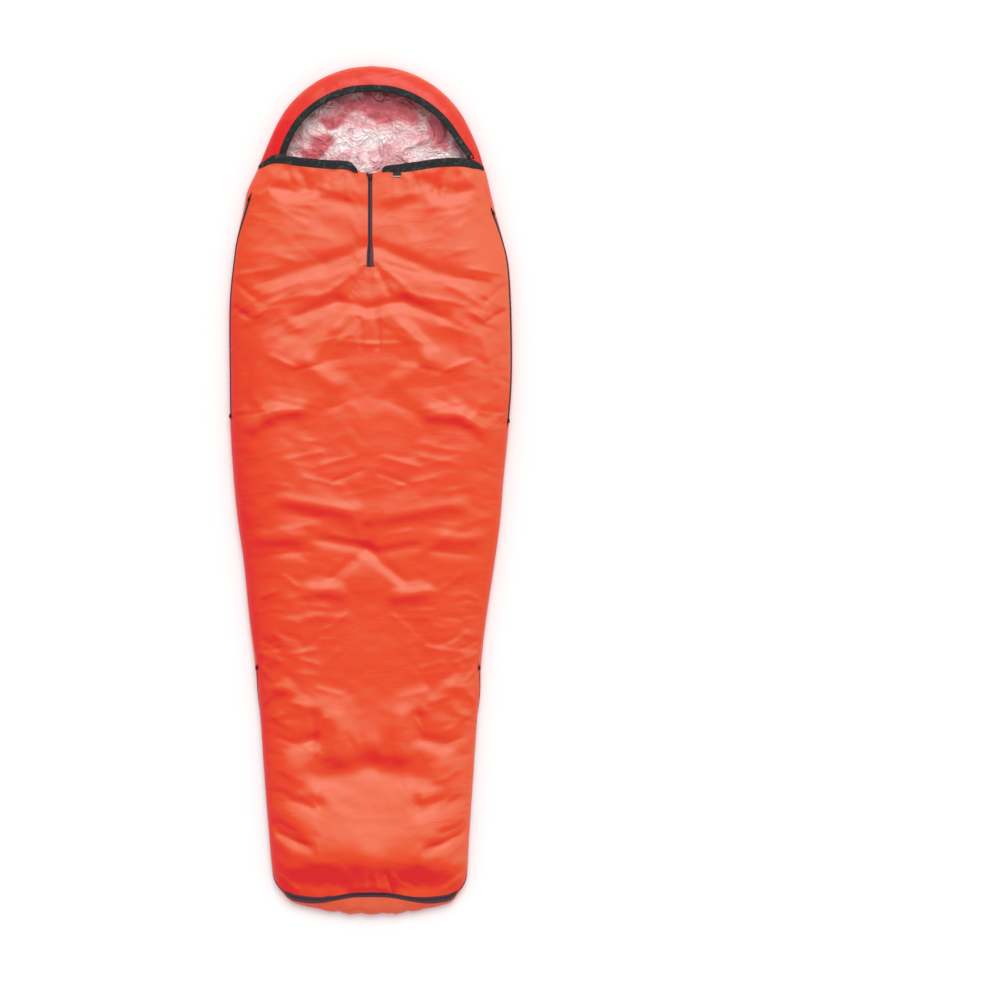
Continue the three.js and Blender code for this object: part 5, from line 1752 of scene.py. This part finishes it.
class LINER_OT_label_tab(bpy.types.Operator):
    """Makes the small blank label tab under the right neck tape"""

    bl_idname = "liner.label_tab"
    bl_label = "Label tab"

    def execute(self, context):
        deselect()
        height = top_height(0.066, 0.7765) + 0.0021
        tab = add_block((0.020, 0.013, 0.0009), (0.066, 0.7765, height), 0.0003)
        bpy.ops.object.mode_set(mode="EDIT")
        select_faces(tab, lambda middle, normal: middle.y < 0.771)
        bpy.ops.transform.translate(value=(0, 0, 0.0007))
        bpy.ops.object.mode_set(mode="OBJECT")
        hem = add_block((0.019, 0.0016, 0.0004), (0.066, 0.7722, height + 0.0007), 0.00015)
        hem.data.materials.append(bpy.data.materials["label_hem"])
        tab.data.materials.append(bpy.data.materials["label_tape"])
        piece = join_pieces("label_tab_tape", [tab, hem])
        finish_piece(piece, (), ("label_tab",), smooth_degrees=40)
        return {"FINISHED"}


LOOP_POINTS = (
    (0.002, 0.975, 0.045),
    (0.008, 0.968, 0.042),
    (0.019, 0.960, 0.036),
    (0.027, 0.9585, 0.035),
    (0.031, 0.963, 0.037),
    (0.036, 0.972, 0.042),
    (0.038, 0.978, 0.045),
)
LOOP_SIDES = 10


class LINER_OT_hood_loop(bpy.types.Operator):
    """Makes the small cord loop under the hood's rim"""

    bl_idname = "liner.hood_loop"
    bl_label = "Hood loop"

    def execute(self, context):
        line = smooth_line([Vector(point) for point in LOOP_POINTS], 60)

        def place(u, v):
            index = round(v * 60)
            run = line[min(60, index + 1)] - line[max(0, index - 1)]
            aside = run.cross(Vector((0, 0, 1))).normalized()
            up = aside.cross(run).normalized()
            angle = -2 * math.pi * u
            return line[index] + 0.0014 * (math.cos(angle) * aside + math.sin(angle) * up)

        piece = cloth_grid("hood_loop_cord", LOOP_SIDES, 60, place, (0.009, 0.044))
        merge_corners(piece)
        bpy.ops.object.mode_set(mode="EDIT")
        bpy.ops.mesh.select_all(action="DESELECT")
        bpy.ops.mesh.select_non_manifold()
        bpy.ops.mesh.fill_holes(sides=0)
        bpy.ops.mesh.select_all(action="SELECT")
        bpy.ops.mesh.normals_make_consistent(inside=False)
        bpy.ops.object.mode_set(mode="OBJECT")
        finish_piece(piece, ("twisted_cord",), ("hood_loop",), smooth_degrees=60)
        return {"FINISHED"}


# Stage
class LINER_OT_stage(bpy.types.Operator):
    """Sets the pale floor, the soft light and the camera straight above"""

    bl_idname = "liner.stage"
    bl_label = "Stage"

    def execute(self, context):
        stage = context.scene.liner_stage
        deselect()
        bpy.ops.mesh.primitive_plane_add(size=30, location=(0, 0, -0.001))
        floor = context.object
        floor.name = "floor"
        bpy.ops.object.transform_apply(location=True)
        shader = Shader("pale_floor")
        cloud = shader.noise(shader.place(), 0.8)
        tone = shader.mix(cloud, (0.95, 0.95, 0.95), (0.97, 0.97, 0.97))
        shader.surface(Base_Color=tone, Roughness=0.85)
        floor.data.materials.append(shader.material)
        bpy.ops.object.light_add(type="SUN", location=(0.8, 4.6, 6.0))
        window = context.object
        window.name = "window_light"
        window.data.energy = stage.window
        window.data.angle = math.radians(40)
        window.rotation_euler = Vector((-0.10, -0.58, -0.81)).to_track_quat("-Z", "Y").to_euler()
        world = bpy.data.worlds.new("studio")
        world.use_nodes = True
        world.node_tree.nodes["Background"].inputs["Color"].default_value = (1, 1, 1, 1)
        world.node_tree.nodes["Background"].inputs["Strength"].default_value = stage.sky
        context.scene.world = world
        middle = (0.3196, -0.0247)
        bpy.ops.object.camera_add(location=(*middle, stage.camera_height), rotation=(0, 0, 0))
        camera = context.object
        camera.data.sensor_width = 36
        camera.data.lens = 36 * (stage.camera_height - 0.035) / stage.view_width
        camera.data.clip_end = 60
        context.scene.camera = camera
        context.scene.view_settings.view_transform = "Standard"
        deselect()
        return {"FINISHED"}


STEPS = (
    "materials",
    "back_panel",
    "front_panel",
    "hood",
    "lining",
    "hood_binding",
    "neck_bindings",
    "side_zips",
    "foot_zip",
    "front_zip",
    "seam_sliders",
    "front_slider",
    "label_tab",
    "hood_loop",
    "stage",
)


class LINER_PT_sidebar(bpy.types.Panel):
    """Lists the settings and the pieces"""

    bl_idname = "LINER_PT_sidebar"
    bl_label = "Sleeping Bag Liner"
    bl_space_type = "VIEW_3D"
    bl_region_type = "UI"
    bl_category = "Liner"

    def draw(self, context):
        scene = context.scene
        for group in (scene.liner_sizes, scene.liner_colours, scene.liner_stage):
            box = self.layout.box()
            for name in group.__annotations__:
                box.prop(group, name)
        for step in STEPS:
            self.layout.operator(f"liner.{step}")


CLASSES = (
    LinerSizes,
    LinerColours,
    LinerStage,
    LINER_OT_materials,
    LINER_OT_back_panel,
    LINER_OT_front_panel,
    LINER_OT_hood,
    LINER_OT_lining,
    LINER_OT_hood_binding,
    LINER_OT_neck_bindings,
    LINER_OT_side_zips,
    LINER_OT_foot_zip,
    LINER_OT_front_zip,
    LINER_OT_seam_sliders,
    LINER_OT_front_slider,
    LINER_OT_label_tab,
    LINER_OT_hood_loop,
    LINER_OT_stage,
    LINER_PT_sidebar,
)


def register():
    for kind in CLASSES:
        bpy.utils.register_class(kind)
    bpy.types.Scene.liner_sizes = bpy.props.PointerProperty(type=LinerSizes)
    bpy.types.Scene.liner_colours = bpy.props.PointerProperty(type=LinerColours)
    bpy.types.Scene.liner_stage = bpy.props.PointerProperty(type=LinerStage)


def unregister():
    del bpy.types.Scene.liner_stage
    del bpy.types.Scene.liner_colours
    del bpy.types.Scene.liner_sizes
    for kind in reversed(CLASSES):
        bpy.utils.unregister_class(kind)


def main():
    register()
    for step in STEPS:
        getattr(bpy.ops.liner, step)()
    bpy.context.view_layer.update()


if __name__ == "__main__":
    main()
